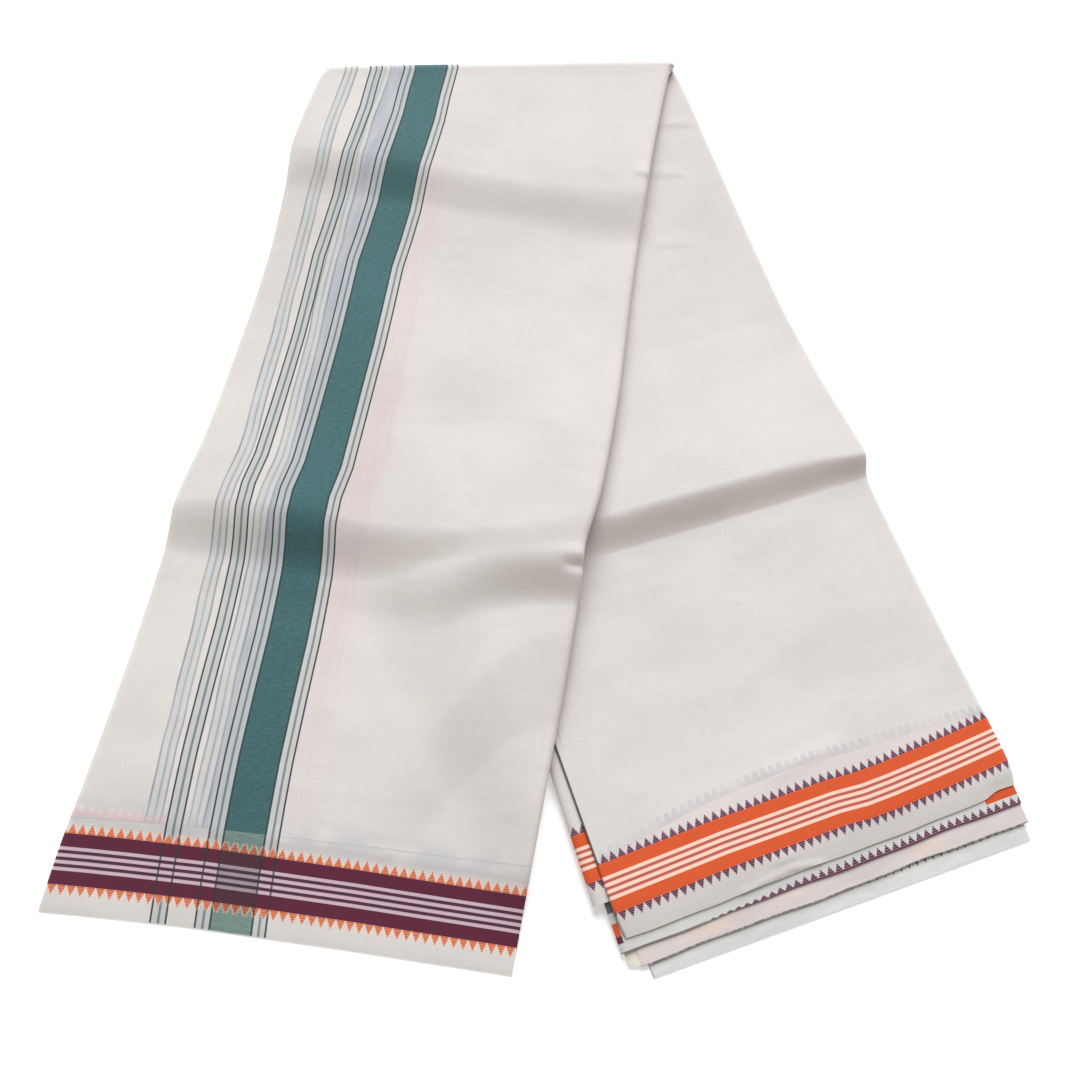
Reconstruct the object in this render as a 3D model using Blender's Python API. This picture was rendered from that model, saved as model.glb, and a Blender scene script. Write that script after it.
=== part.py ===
"""A white cotton dhoti cloth with woven borders, folded for the shelf.

The cloth is folded along its length into a strip, and the strip is bent once
over itself at the top into two legs that spread like an upturned V. The front
leg lies over the back leg near the bend. Plain lengths are in millimetres.
"""

import math
from collections import namedtuple

import bmesh
import bpy
from mathutils import Vector

MM = 0.001

# Driving dimensions
LEG_ANGLE = math.radians(14.3)
WALL = 1.0
GAP = 0.3
FRONT_STACK = 7.7
BACK_STACK = 7.8
BEND_RADIUS = (FRONT_STACK + GAP + BACK_STACK) / 2
BEND_FLAP = 14.0
BEND_CLEARANCE = 1.0
BEND_TURN_STEP = 30
# Where the rings of the hidden layers lie inside the bend, as shares of its radius
BEND_RING_SHARES = (0.34, 0.66, 1.1)
# How far past the flap the back leg's hidden layers come down to the floor
FLAP_END_MARGIN = 1.0
FLOOR_MARGIN = 2.5
EDGE_ROUND = 4.0
RIM_ROUND = 1.0
EDGE_ANGLES = (15, 40, 65, 90)
FRONT_FALL_SHARE = 0.55
LEAST_FALL = 0.02
SHARP_ANGLE = math.radians(50)
TOP_COLUMNS = 12
ROW_SPACING = 27.0

# The front leg sinks to the floor over a band, measured out from the back leg's left edge. The
# band is wide where the stack is thick and narrower at the hem.
BACK_LEFT_EDGE = -131.0
RAMP_FULL = 12.0
RAMP_NONE_ABOVE = 95.0
RAMP_NONE_AT_HEM = 62.0
RAMP_NARROWS_FROM = 400.0
RAMP_NARROWS_TO = 560.0
UNDERSIDE_SHARE = 0.8

# Along each leg a section runs from the left edge to the right edge. "along" is measured down
# the leg from the bend and "out" from its middle line. The rises are those of a packing crest
# at both edges, and the stack is the height of the folded layers there.
Section = namedtuple("Section", "left_along left_out right_along right_out left_rise right_rise stack")

FRONT_SECTIONS = (
    Section(57.0, -119.0, -10.0, 126.0, 0.0, 0.0, FRONT_STACK),
    Section(84.0, -121.0, 48.0, 124.4, 3.0, 4.0, FRONT_STACK),
    Section(110.0, -122.6, 84.0, 124.3, 5.6, 6.8, FRONT_STACK),
    Section(122.0, -123.0, 99.0, 124.5, 6.6, 7.6, FRONT_STACK),
    Section(134.0, -121.8, 115.0, 124.6, 5.2, 6.4, FRONT_STACK),
    Section(147.0, -120.4, 133.0, 124.8, 2.2, 3.0, FRONT_STACK),
    Section(162.0, -119.0, 152.0, 125.2, 0.2, 0.2, FRONT_STACK),
    Section(215.0, -116.6, 200.0, 125.6, 0.3, 0.4, FRONT_STACK),
    Section(290.0, -117.2, 275.0, 127.2, 3.2, 4.6, FRONT_STACK),
    Section(350.0, -119.2, 330.0, 126.4, 6.2, 8.8, FRONT_STACK),
    Section(388.0, -123.2, 368.0, 123.6, 8.4, 10.6, FRONT_STACK),
    Section(399.0, -123.8, 381.0, 121.6, 8.2, 10.6, FRONT_STACK),
    Section(410.0, -123.2, 393.0, 121.4, 6.0, 8.2, FRONT_STACK),
    Section(421.0, -122.4, 406.0, 122.4, 2.4, 3.8, FRONT_STACK),
    Section(433.0, -122.0, 420.0, 122.8, 0.2, 0.4, FRONT_STACK),
    Section(480.0, -122.0, 468.0, 123.0, 0.0, 0.0, 7.6),
    Section(520.0, -122.9, 510.0, 122.2, 0.0, 0.0, 7.1),
    Section(550.0, -124.2, 541.0, 121.6, 0.0, 0.0, 6.2),
    Section(570.0, -125.2, 561.0, 121.3, 0.0, 0.0, 5.3),
    Section(592.0, -126.6, 583.0, 120.9, 0.0, 0.0, 4.1),
    Section(609.0, -127.2, 599.0, 120.7, 0.0, 0.0, 2.8),
    Section(631.0, -127.5, 621.0, 120.5, 0.0, 0.0, WALL),
)
FRONT_LAYERS_END = 572.0

BACK_SECTIONS = (
    Section(30.0, -127.0, 70.0, 125.0, 0.0, 0.0, BACK_STACK),
    Section(120.0, -129.0, 146.0, 121.8, 0.0, 0.0, BACK_STACK),
    Section(240.0, -130.5, 244.0, 118.4, 0.0, 0.0, BACK_STACK),
    Section(285.0, -130.8, 287.0, 118.4, 0.0, 0.9, BACK_STACK),
    Section(325.0, -131.0, 328.0, 118.6, 0.0, 4.4, BACK_STACK),
    Section(355.0, -131.0, 357.0, 120.2, 0.0, 7.2, BACK_STACK),
    Section(374.0, -131.0, 375.0, 121.2, 0.0, 8.8, BACK_STACK),
    Section(387.0, -131.0, 388.0, 120.5, 0.0, 4.6, BACK_STACK),
    Section(400.0, -131.0, 400.0, 118.4, 0.0, 0.3, BACK_STACK),
    Section(420.0, -131.0, 420.0, 117.6, 0.0, 0.0, BACK_STACK),
    Section(500.0, -131.0, 500.0, 117.8, 0.0, 0.0, BACK_STACK),
    Section(565.0, -130.6, 565.0, 119.0, 0.0, 0.0, BACK_STACK),
    Section(590.0, -130.3, 590.0, 118.8, 0.0, 0.0, BACK_STACK),
    Section(605.5, -128.8, 604.0, 116.6, 0.0, 0.0, BACK_STACK - 2.0),
)
BACK_BEND_INSET = 1.7
BACK_EDGE_FALL = 2.2
BACK_FLAT_FALL = 0.3
# The back leg's crest grows from the front leg's edge towards the right
BACK_RISE_START = 0.22
BACK_RISE_FULL = 0.34

# Layers that show at the back leg's hem and left edge: where each begins and ends along the
# leg, its edges, and the height of its underside
Layer = namedtuple("Layer", "name start end end_skew left right underside end_sag left_fall")
BACK_LAYERS = (
    Layer("back_left_layer", 432.0, 585.0, 0.0, -137.0, 112.5, 5.5, 0.0, 2.4),
    Layer("back_second_layer", 432.0, 612.0, 0.0, -133.4, 116.0, 4.2, 1.2, 1.6),
    Layer("back_third_layer", 432.0, 621.8, 0.6, -125.5, 115.6, 2.9, 1.2, 0.4),
)
LOWER_LAYERS_TOP = 2.6
LOWER_LAYERS_START = 424.0
LOWER_LAYERS_END = 632.0
LOWER_LAYERS_SAG = 1.1
# Left and right edges of the lowest layers, higher up and at their hem, which leans a little
LOWEST_LEFT = (-130.0, -121.0)
LOWEST_RIGHT = (116.5, 113.0)
LOWEST_HEM_LEAN = 1.5
SAG_START = 560.0

# Edge of the shared hidden layers, as folds lying on each other: height as a share of the
# stack, and how far the edge draws in
SIDE_FOLDS = (
    (0.00, 1.5),
    (0.13, 0.6),
    (0.26, 0.7),
    (0.32, 1.3),
    (0.39, 0.7),
    (0.52, 0.8),
    (0.62, 1.9),
    (0.74, 2.4),
    (0.88, 3.4),
)
SIDE_FOLDS_LOW = (
    (0.00, 1.2),
    (0.22, 0.4),
    (0.45, 0.5),
    (0.55, 1.0),
    (0.66, 0.5),
    (0.84, 0.7),
)

CLOTH = ("undyed cotton", (0.80, 0.78, 0.75), 0.85)
REVERSE = ("undyed cotton, reverse", (0.78, 0.76, 0.73), 0.87)
INNER = ("inner layers", (0.70, 0.69, 0.67), 0.90)


class Leg:
    """One leg of the bent strip, with its own directions down the leg and across it."""

    def __init__(self, side):
        self.down = Vector((side * math.sin(LEG_ANGLE), -math.cos(LEG_ANGLE)))
        self.across = Vector((math.cos(LEG_ANGLE), side * math.sin(LEG_ANGLE)))

    def point(self, along, out, height):
        plan = self.down * along + self.across * out
        return Vector((plan.x, plan.y, height)) * MM

    def coordinates(self, plan):
        return plan.dot(self.down), plan.dot(self.across)


FRONT = Leg(-1)
BACK = Leg(1)
# The two ends of the bend's outermost line, in plan
BEND_LEFT = Vector((-125.8, -14.0))
BEND_RIGHT = Vector((131.0, -7.6))


def smoothstep(value):
    value = min(max(value, 0.0), 1.0)
    return value * value * (3.0 - 2.0 * value)


def lerp(first, second, share):
    return first + (second - first) * share


def curved(before, first, second, after, share):
    """A point of the smooth curve through four values."""
    slope_first = (second - before) / 2
    slope_second = (after - first) / 2
    square = share * share
    cube = square * share
    return (
        (2 * cube - 3 * square + 1) * first
        + (cube - 2 * square + share) * slope_first
        + (3 * square - 2 * cube) * second
        + (cube - square) * slope_second
    )


def filled(sections):
    """The sections, with smooth ones added wherever two lie far apart."""
    rows = []
    last = len(sections) - 1
    for index in range(last):
        first, second = sections[index], sections[index + 1]
        before = sections[max(index - 1, 0)]
        after = sections[min(index + 2, last)]
        steps = math.ceil((second.right_along - first.right_along) / ROW_SPACING)
        for step in range(steps):
            share = step / steps
            values = [curved(*four, share) for four in zip(before, first, second, after)]
            values[4:6] = [max(value, 0.0) for value in values[4:6]]
            values[6] = lerp(first.stack, second.stack, share)
            rows.append(Section(*values))
    return rows + [sections[last]]


def bend_section(leg, inset, stack):
    """The section that lies along the bend, drawn in from its outermost line."""
    line = (BEND_RIGHT - BEND_LEFT).normalized()
    inward = Vector((line.y, -line.x))
    left = leg.coordinates(BEND_LEFT + inward * inset)
    right = leg.coordinates(BEND_RIGHT + inward * inset)
    return Section(left[0], left[1], right[0], right[1], 0.0, 0.0, stack)


def over_back_leg(leg, along, out):
    """1 where the front leg lies on the back leg, falling to 0 where it lies on the floor."""
    if leg is BACK:
        return 0.0
    outside = BACK_LEFT_EDGE - BACK.coordinates(leg.down * along + leg.across * out)[1]
    narrowing = smoothstep((along - RAMP_NARROWS_FROM) / (RAMP_NARROWS_TO - RAMP_NARROWS_FROM))
    ramp_none = lerp(RAMP_NONE_ABOVE, RAMP_NONE_AT_HEM, narrowing)
    return 1.0 - smoothstep((outside - RAMP_FULL) / (ramp_none - RAMP_FULL))


def crest_rise(leg, section, share):
    """How far the packing crest lifts the cloth at a share of the way across."""
    if leg is BACK:
        grown = (share - BACK_RISE_START) / (BACK_RISE_FULL - BACK_RISE_START)
        return section.right_rise * smoothstep(grown)
    return lerp(section.left_rise, section.right_rise, share)


def spot(leg, section, inset, from_right):
    """(along, out, share across) at an inset from one of the section's edges."""
    width = section.right_out - section.left_out
    share = 1.0 - inset / width if from_right else inset / width
    along = lerp(section.left_along, section.right_along, share)
    return along, lerp(section.left_out, section.right_out, share), share


def heights(leg, section, along, out, share):
    """(underside, top) of the stack at a spot."""
    over = over_back_leg(leg, along, out)
    rise = crest_rise(leg, section, share)
    underside = over * (BACK_STACK + GAP + UNDERSIDE_SHARE * rise)
    lift = over * (BACK_STACK + GAP) + rise
    return underside, lift + section.stack


def top_insets(section, edge):
    """(inset, from_right) of the columns across the flat of a section."""
    width = section.right_out - section.left_out
    step = (width - 2 * edge) / (TOP_COLUMNS + 1)
    return [(edge + step * (number + 1), False) for number in range(TOP_COLUMNS)]


def edge_points(fall, flip):
    """(inset, drop, normal out, normal up) round one edge of a sheet, from the rim inwards."""
    points = []
    for degrees in EDGE_ANGLES:
        angle = math.radians(degrees)
        normal = Vector((-math.cos(angle) / EDGE_ROUND, math.sin(angle) / fall)).normalized()
        inset = EDGE_ROUND * (1.0 - math.cos(angle))
        points.append((inset, fall * (1.0 - math.sin(angle)), -normal.x if flip else normal.x, normal.y))
    return points


def sheet_rows(leg, section, left_fall, right_fall):
    """The outer and the inner points of a sheet along one section."""
    outer, inner = [], []
    columns = [(point, False) for point in edge_points(left_fall, False)]
    columns += [((inset, 0.0, 0.0, 1.0), side) for inset, side in top_insets(section, EDGE_ROUND)]
    columns += [(point, True) for point in reversed(edge_points(right_fall, True))]
    for (inset, drop, normal_out, normal_up), from_right in columns:
        along, out, share = spot(leg, section, inset, from_right)
        top = heights(leg, section, along, out, share)[1] - drop
        outer.append(leg.point(along, out, top))
        inner.append(leg.point(along, out - normal_out * WALL, top - normal_up * WALL))
    return outer, inner


def bend_rows():
    """The rows of the front sheet that turn over the bend and a little way under it."""
    flat_row = bend_section(FRONT, BEND_RADIUS, 0.0)
    rows = []
    turns = [(180.0, BEND_FLAP)]
    turns += [(float(angle), 0.0) for angle in range(180, -1, -BEND_TURN_STEP)]
    line = (BEND_RIGHT - BEND_LEFT).normalized()
    outward = Vector((-line.y, line.x, 0.0)) * MM
    for degrees, flap in turns:
        angle = math.radians(degrees)
        pair = []
        for radius in (BEND_RADIUS, BEND_RADIUS - WALL):
            centre = [spot(FRONT, flat_row, edge[0], False) for edge in edge_points(RIM_ROUND, False)]
            centre += [spot(FRONT, flat_row, *column) for column in top_insets(flat_row, EDGE_ROUND)]
            centre += [spot(FRONT, flat_row, edge[0], True) for edge in reversed(edge_points(RIM_ROUND, True))]
            height = BEND_RADIUS + radius * math.cos(angle)
            shift = outward * (radius * math.sin(angle) - flap)
            pair.append([FRONT.point(along, out, height) + shift for along, out, _ in centre])
        rows.append(tuple(pair))
    return rows


def fill_between(mesh, upper, lower):
    """Faces of a closed wall between two grids of points."""
    grids = [[[mesh.verts.new(point) for point in row] for row in grid] for grid in (upper, lower)]
    for grid, flip in zip(grids, (False, True)):
        for row, following in zip(grid, grid[1:]):
            for number in range(len(row) - 1):
                corners = [row[number], following[number], following[number + 1], row[number + 1]]
                mesh.faces.new(corners[::-1] if flip else corners)
    top, bottom = grids
    for number in range(len(top[0]) - 1):
        mesh.faces.new((top[0][number], top[0][number + 1], bottom[0][number + 1], bottom[0][number]))
        corners = (top[-1][number + 1], top[-1][number], bottom[-1][number], bottom[-1][number + 1])
        mesh.faces.new(corners)
    for number in range(len(top) - 1):
        mesh.faces.new((top[number + 1][0], top[number][0], bottom[number][0], bottom[number + 1][0]))
        mesh.faces.new((top[number][-1], top[number + 1][-1], bottom[number + 1][-1], bottom[number][-1]))


def loft(mesh, rings):
    """A closed body through rings of points, with flat ends."""
    loops = [[mesh.verts.new(point) for point in ring] for ring in rings]
    for loop, following in zip(loops, loops[1:]):
        for number in range(len(loop)):
            after = (number + 1) % len(loop)
            mesh.faces.new((loop[number], following[number], following[after], loop[after]))
    mesh.faces.new(loops[0])
    mesh.faces.new(loops[-1][::-1])


def finished(name, mesh, look):
    """The named object, with its material and soft shading."""
    bmesh.ops.recalc_face_normals(mesh, faces=mesh.faces)
    bmesh.ops.triangulate(mesh, faces=mesh.faces)
    data = bpy.data.meshes.new(name)
    mesh.to_mesh(data)
    mesh.free()
    data.shade_smooth()
    data.set_sharp_from_angle(angle=SHARP_ANGLE)
    material = bpy.data.materials.get(look[0]) or bpy.data.materials.new(look[0])
    material.use_nodes = True
    shader = material.node_tree.nodes["Principled BSDF"]
    shader.inputs["Base Color"].default_value = (*look[1], 1.0)
    shader.inputs["Roughness"].default_value = look[2]
    shader.inputs["Metallic"].default_value = 0.0
    data.materials.append(material)
    obj = bpy.data.objects.new(name, data)
    bpy.context.scene.collection.objects.link(obj)
    return obj


def block_ring(leg, section, insets, low, high, side_folds, left_draw=0.0, right_draw=0.0):
    """A ring round the shared layers: up the left folds, over the top, down the right ones."""
    ring = []
    left = [(draw + left_draw, False, share) for share, draw in side_folds]
    right = [(draw + right_draw, True, share) for share, draw in reversed(side_folds)]
    middle = [(inset, side, 1.0) for inset, side in insets]
    for inset, from_right, level in left + middle + right:
        along, out, share = spot(leg, section, inset, from_right)
        underside, top = heights(leg, section, along, out, share)
        ring.append(leg.point(along, out, lerp(underside + low, top - high, level)))
    return ring + closing_row(leg, section, insets, low)


def closing_row(leg, section, insets, low):
    """The underside's points of a ring, from right to left."""
    row = []
    for inset, from_right in reversed(insets):
        along, out, share = spot(leg, section, inset, from_right)
        row.append(leg.point(along, out, heights(leg, section, along, out, share)[0] + low))
    return row


def make_front_sheet():
    """The cloth that shows on the front leg, from under the bend to its hem on the floor."""
    rows = bend_rows()
    for section in filled(FRONT_SECTIONS):
        fall = max(FRONT_FALL_SHARE * (section.stack - WALL), LEAST_FALL)
        rows.append(sheet_rows(FRONT, section, fall, fall))
    mesh = bmesh.new()
    fill_between(mesh, [row[0] for row in rows], [row[1] for row in rows])
    return finished("front_sheet", mesh, CLOTH)


def make_front_layers():
    """The hidden layers of the front leg, which end short of the hem of the sheet over them."""
    rings = []
    inner_radius = BEND_RADIUS - WALL
    sections = [section for section in filled(FRONT_SECTIONS) if section.left_along < FRONT_LAYERS_END]
    for inset in [share * BEND_RADIUS for share in BEND_RING_SHARES]:
        reach = math.sqrt(inner_radius**2 - max(BEND_RADIUS - inset, 0.0) ** 2)
        core = min(reach - BEND_CLEARANCE, FRONT_STACK - WALL - GAP)
        section = bend_section(FRONT, inset, FRONT_STACK)
        high = FRONT_STACK - core
        rings.append(block_ring(FRONT, section, top_insets(section, EDGE_ROUND), 0.0, high, SIDE_FOLDS))
    for section in sections:
        insets = top_insets(section, EDGE_ROUND)
        rings.append(block_ring(FRONT, section, insets, 0.0, WALL + GAP, SIDE_FOLDS))
    mesh = bmesh.new()
    loft(mesh, rings)
    return finished("front_inner_layers", mesh, INNER)


def make_back_sheet():
    """The reverse of the cloth, which shows on the back leg."""
    sections = [bend_section(BACK, BACK_BEND_INSET, BACK_STACK)] + filled(BACK_SECTIONS)
    rows = []
    for section in sections:
        spare = section.stack - sections[-1].stack
        rows.append(sheet_rows(BACK, section, BACK_FLAT_FALL, min(BACK_FLAT_FALL + spare, BACK_EDGE_FALL)))
    mesh = bmesh.new()
    fill_between(mesh, [row[0] for row in rows], [row[1] for row in rows])
    return finished("back_sheet", mesh, REVERSE)


def layer_section(layer, along, skew, height):
    """A straight section of one of the back leg's lower layers."""
    return Section(along - skew, layer.left, along + skew, layer.right, 0.0, 0.0, height)


def sag(along, depth):
    """How far a layer sinks towards its hem."""
    return depth * smoothstep((along - SAG_START) / (LOWER_LAYERS_END - SAG_START))


def make_back_layer(layer):
    """One of the layers that step out at the back leg's hem."""
    rows = []
    steps = math.ceil((layer.end - layer.start) / ROW_SPACING)
    for step in range(steps + 1):
        along = lerp(layer.start, layer.end, step / steps)
        height = layer.underside + WALL - sag(along, layer.end_sag)
        section = layer_section(layer, along, layer.end_skew * step / steps, height)
        rows.append(sheet_rows(BACK, section, layer.left_fall, BACK_FLAT_FALL))
    mesh = bmesh.new()
    fill_between(mesh, [row[0] for row in rows], [row[1] for row in rows])
    return finished(layer.name, mesh, REVERSE)


def make_back_layers():
    """The hidden layers of the back leg: full height under the sheet, lower where hems show."""
    rings = []
    inner_radius = BEND_RADIUS - WALL
    high = WALL + GAP
    insets = [share * BEND_RADIUS for share in BEND_RING_SHARES]
    for inset in insets + [BEND_FLAP + BEND_RADIUS + FLAP_END_MARGIN]:
        reach = math.sqrt(inner_radius**2 - max(BEND_RADIUS - inset, 0.0) ** 2)
        low = max(BEND_RADIUS - reach + BEND_CLEARANCE, WALL + GAP)
        section = bend_section(BACK, inset, BACK_STACK)
        rings.append(block_ring(BACK, section, top_insets(section, EDGE_ROUND), low, high, SIDE_FOLDS))
    rest = bend_section(BACK, BEND_FLAP + BEND_RADIUS + FLOOR_MARGIN, BACK_STACK)
    upper = [rest] + [section for section in filled(BACK_SECTIONS) if section.left_along < LOWER_LAYERS_START]
    for section in upper:
        insets = top_insets(section, EDGE_ROUND)
        rings.append(block_ring(BACK, section, insets, 0.0, high, SIDE_FOLDS))
    mesh = bmesh.new()
    loft(mesh, rings)
    return finished("back_inner_layers", mesh, INNER)


def make_back_lowest_layers():
    """The layers at the bottom of the back leg, whose hem reaches furthest."""
    rings = []
    steps = math.ceil((LOWER_LAYERS_END - LOWER_LAYERS_START) / ROW_SPACING)
    for step in range(steps + 1):
        along = lerp(LOWER_LAYERS_START, LOWER_LAYERS_END, step / steps)
        narrowing = smoothstep((along - SAG_START) / (LOWER_LAYERS_END - SAG_START))
        height = LOWER_LAYERS_TOP - sag(along, LOWER_LAYERS_SAG)
        left = lerp(*LOWEST_LEFT, narrowing)
        right = lerp(*LOWEST_RIGHT, narrowing)
        section = Section(along - LOWEST_HEM_LEAN * narrowing, left, along, right, 0.0, 0.0, height)
        insets = top_insets(section, EDGE_ROUND)
        rings.append(block_ring(BACK, section, insets, 0.0, 0.0, SIDE_FOLDS_LOW))
    mesh = bmesh.new()
    loft(mesh, rings)
    return finished("back_lowest_layers", mesh, INNER)


def centre_on_footprint(objects):
    """Moves the meshes so that the origin is at the middle of the footprint, on the floor."""
    points = [vertex.co for obj in objects for vertex in obj.data.vertices]
    middle = []
    for axis in (0, 1):
        places = [point[axis] for point in points]
        middle.append((min(places) + max(places)) / 2)
    for obj in objects:
        for vertex in obj.data.vertices:
            vertex.co.x -= middle[0]
            vertex.co.y -= middle[1]


def main():
    for obj in list(bpy.data.objects):
        bpy.data.objects.remove(obj)
    objects = [make_front_sheet(), make_front_layers(), make_back_sheet()]
    objects += [make_back_layer(layer) for layer in BACK_LAYERS]
    objects += [make_back_layers(), make_back_lowest_layers()]
    centre_on_footprint(objects)


main()
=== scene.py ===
"""Looks of a white cotton dhoti cloth with woven borders, folded for the shelf.

The cloth is folded along its length into a strip, and the strip is bent once over itself into
two legs. Plain lengths here are millimetres. Along a leg a point is placed by "along", measured
down the leg from the bend, and "out", measured across the leg from its middle line.
"""

import logging
import math
from dataclasses import dataclass
from enum import Enum
from functools import partial, reduce
from typing import ClassVar, NamedTuple

import bpy
import numpy as np
from mathutils import Matrix, Vector


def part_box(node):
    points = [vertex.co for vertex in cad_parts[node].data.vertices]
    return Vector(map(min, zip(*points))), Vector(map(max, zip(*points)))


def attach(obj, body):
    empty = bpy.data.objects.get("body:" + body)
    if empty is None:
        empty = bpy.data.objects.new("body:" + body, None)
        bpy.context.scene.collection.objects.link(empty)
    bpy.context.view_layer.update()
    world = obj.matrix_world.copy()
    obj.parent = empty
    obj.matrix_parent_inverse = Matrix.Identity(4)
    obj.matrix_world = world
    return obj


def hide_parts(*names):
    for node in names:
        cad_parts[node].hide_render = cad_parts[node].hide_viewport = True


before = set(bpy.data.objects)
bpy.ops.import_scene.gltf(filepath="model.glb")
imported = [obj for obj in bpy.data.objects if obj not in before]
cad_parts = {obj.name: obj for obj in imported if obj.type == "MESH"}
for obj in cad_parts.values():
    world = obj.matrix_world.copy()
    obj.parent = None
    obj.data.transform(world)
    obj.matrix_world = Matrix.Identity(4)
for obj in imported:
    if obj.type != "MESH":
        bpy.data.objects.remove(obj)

log = logging.getLogger("dhoti")

MM = 0.001
BODY = "root"

Array = np.ndarray
Colour = tuple[float, float, float]
Pair = tuple[float, float]
Socket = bpy.types.NodeSocket
Sockets = dict[str, Socket]
Value = float | tuple | Socket


# The folded strip


class Side(Enum):
    """The two legs of the bent strip, by the way each leans."""

    FRONT = -1
    BACK = 1


class Slot(Enum):
    """The finishes, one given to each piece."""

    FACE = "cloth_face"
    REVERSE = "cloth_reverse"
    INNER = "cloth_inner"


class Section(NamedTuple):
    """A line across a leg, from its left edge to its right edge."""

    left_along: float
    left_out: float
    right_along: float
    right_out: float
    stack: float


@dataclass(frozen=True)
class Strip:
    """Sizes that both legs share."""

    leg_angle: float = math.radians(14.3)
    front_stack: float = 7.7
    back_stack: float = 7.8
    gap: float = 0.3
    solid_wall: float = 1.0
    bend_flap: float = 14.0
    bend_left: Pair = (-125.8, -14.0)
    bend_right: Pair = (131.0, -7.6)
    edge_round: float = 4.0
    rim_angle: float = 8.0
    thickness: float = 0.45
    back_left_edge: float = -131.0
    ramp_full: float = 12.0
    ramp_none: float = 95.0
    ramp_none_at_hem: float = 62.0
    ramp_narrows: Pair = (400.0, 560.0)
    underside_share: float = 0.8

    @property
    def bend_radius(self) -> float:
        """Radius of the bend's outer face."""
        return (self.front_stack + self.gap + self.back_stack) / 2

    @property
    def bend_line(self) -> tuple[Array, Array]:
        """Direction along the bend, and the direction in from it towards the hems.

        Returns:
            Both directions in plan, each of length 1.
        """
        line = np.subtract(self.bend_right, self.bend_left)
        line = line / np.linalg.norm(line)
        return line, np.array([line[1], -line[0]])


STRIP = Strip()


def smoothstep(value: Array | float) -> Array | float:
    """A soft step from 0 to 1."""
    value = np.clip(value, 0.0, 1.0)
    return value * value * (3.0 - 2.0 * value)


def lerp(first: Array | float, second: Array | float, share: Array | float) -> Array | float:
    """The value a share of the way from the first to the second."""
    return first + (second - first) * share


def records(kind: type, *rows: tuple) -> tuple:
    """Rows of numbers as records of a kind, whose fields name their columns."""
    return tuple(kind(*row) for row in rows)


def sections(stack: float, *rows: tuple[float, ...]) -> tuple[Section, ...]:
    """Sections of the same stack, apart from the rows that give their own."""
    return records(Section, *(row if len(row) == len(Section._fields) else (*row, stack) for row in rows))


@dataclass(frozen=True)
class Leg:
    """One leg of the bent strip, with its own directions down the leg and across it."""

    side: Side

    @property
    def down(self) -> Array:
        """Direction down the leg, from the bend to its hem."""
        return np.array([self.side.value * math.sin(STRIP.leg_angle), -math.cos(STRIP.leg_angle)])

    @property
    def across(self) -> Array:
        """Direction across the leg, from its left edge to its right edge."""
        return np.array([math.cos(STRIP.leg_angle), self.side.value * math.sin(STRIP.leg_angle)])

    def plan(self, along: Array, out: Array) -> Array:
        """Places in plan, one pair for each spot's distances along the leg and out from its middle."""
        return np.multiply.outer(along, self.down) + np.multiply.outer(out, self.across)

    def coordinates(self, plan: Array) -> tuple[Array, Array]:
        """The (along, out) of places in plan."""
        return plan @ self.down, plan @ self.across

    def bend_section(self, inset: float, stack: float) -> Section:
        """The section along the bend.

        Args:
            inset: how far it is drawn in from the bend's outermost line.
            stack: height of the layers there.

        Returns:
            The section.
        """
        inward = STRIP.bend_line[1] * inset
        left = self.coordinates(np.add(STRIP.bend_left, inward))
        right = self.coordinates(np.add(STRIP.bend_right, inward))
        return Section(left[0], left[1], right[0], right[1], stack)


FRONT = Leg(Side.FRONT)
BACK = Leg(Side.BACK)

FRONT_SECTIONS = sections(
    STRIP.front_stack,
    (57, -119, -10, 127.8),
    (76, -120.5, 30, 125.9),
    (98, -122, 76, 124.6),
    (118, -123, 99, 124.5),
    (130, -122.2, 112, 124.5),
    (142, -120.8, 124, 124.8),
    (156, -119.4, 138, 125),
    (215, -116.6, 195, 125.5),
    (290, -117.2, 270, 127.2),
    (348, -119, 318, 126.5),
    (377, -122.2, 345, 125.4),
    (397, -123.8, 366, 123),
    (409, -123.2, 379, 121.2),
    (421, -122.4, 392, 121.4),
    (435, -122, 407, 122.7),
    (480, -122, 468, 123, 7.6),
    (520, -122.9, 510, 122.2, 7.5),
    (550, -124.2, 541, 121.6, 7),
    (575, -125.5, 567, 121.2, 5.8),
    (592, -126.6, 583, 120.9, 4.4),
    (609, -127.2, 599, 120.7, 2.7),
    (631, -127.5, 621, 120.5, 0.7),
)
FRONT_LAYERS_END = 572.0

BACK_SECTIONS = sections(
    STRIP.back_stack,
    (30, -127, 70, 125),
    (120, -129, 146, 121.8),
    (240, -130.5, 244, 118.4),
    (325, -131, 328, 118.6),
    (355, -131, 358, 120.2),
    (376, -131, 378, 121.2),
    (386, -131, 387, 120.5),
    (396, -131, 396, 118.8),
    (412, -131, 412, 117.6),
    (500, -131, 500, 117.8),
    (565, -130.6, 565, 119),
    (590, -130.3, 590, 118.8),
    (605.5, -128.8, 604, 116.6, STRIP.back_stack - 2),
)


def dense(sections: tuple[Section, ...], spacing: float) -> Array:
    """Sections a little way apart, on a smooth curve through the given ones.

    Args:
        sections: the sections that are passed through.
        spacing: the greatest distance between two rows.

    Returns:
        One row of section values a line.
    """
    table = np.array(sections)
    last = len(table) - 1
    rows = []
    for index in range(last):
        before, first = table[max(index - 1, 0)], table[index]
        second, after = table[index + 1], table[min(index + 2, last)]
        reach = max(second[2] - first[2], second[0] - first[0])
        steps = max(math.ceil(reach / spacing), 1)
        for share in np.arange(steps) / steps:
            square, cube = share**2, share**3
            row = (2 * cube - 3 * square + 1) * first + (3 * square - 2 * cube) * second
            row += (cube - 2 * square + share) * (second - before) / 2 + (cube - square) * (after - first) / 2
            row[4] = lerp(first[4], second[4], share)
            rows.append(row)
    rows.append(table[last])
    return np.array(rows)


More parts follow.
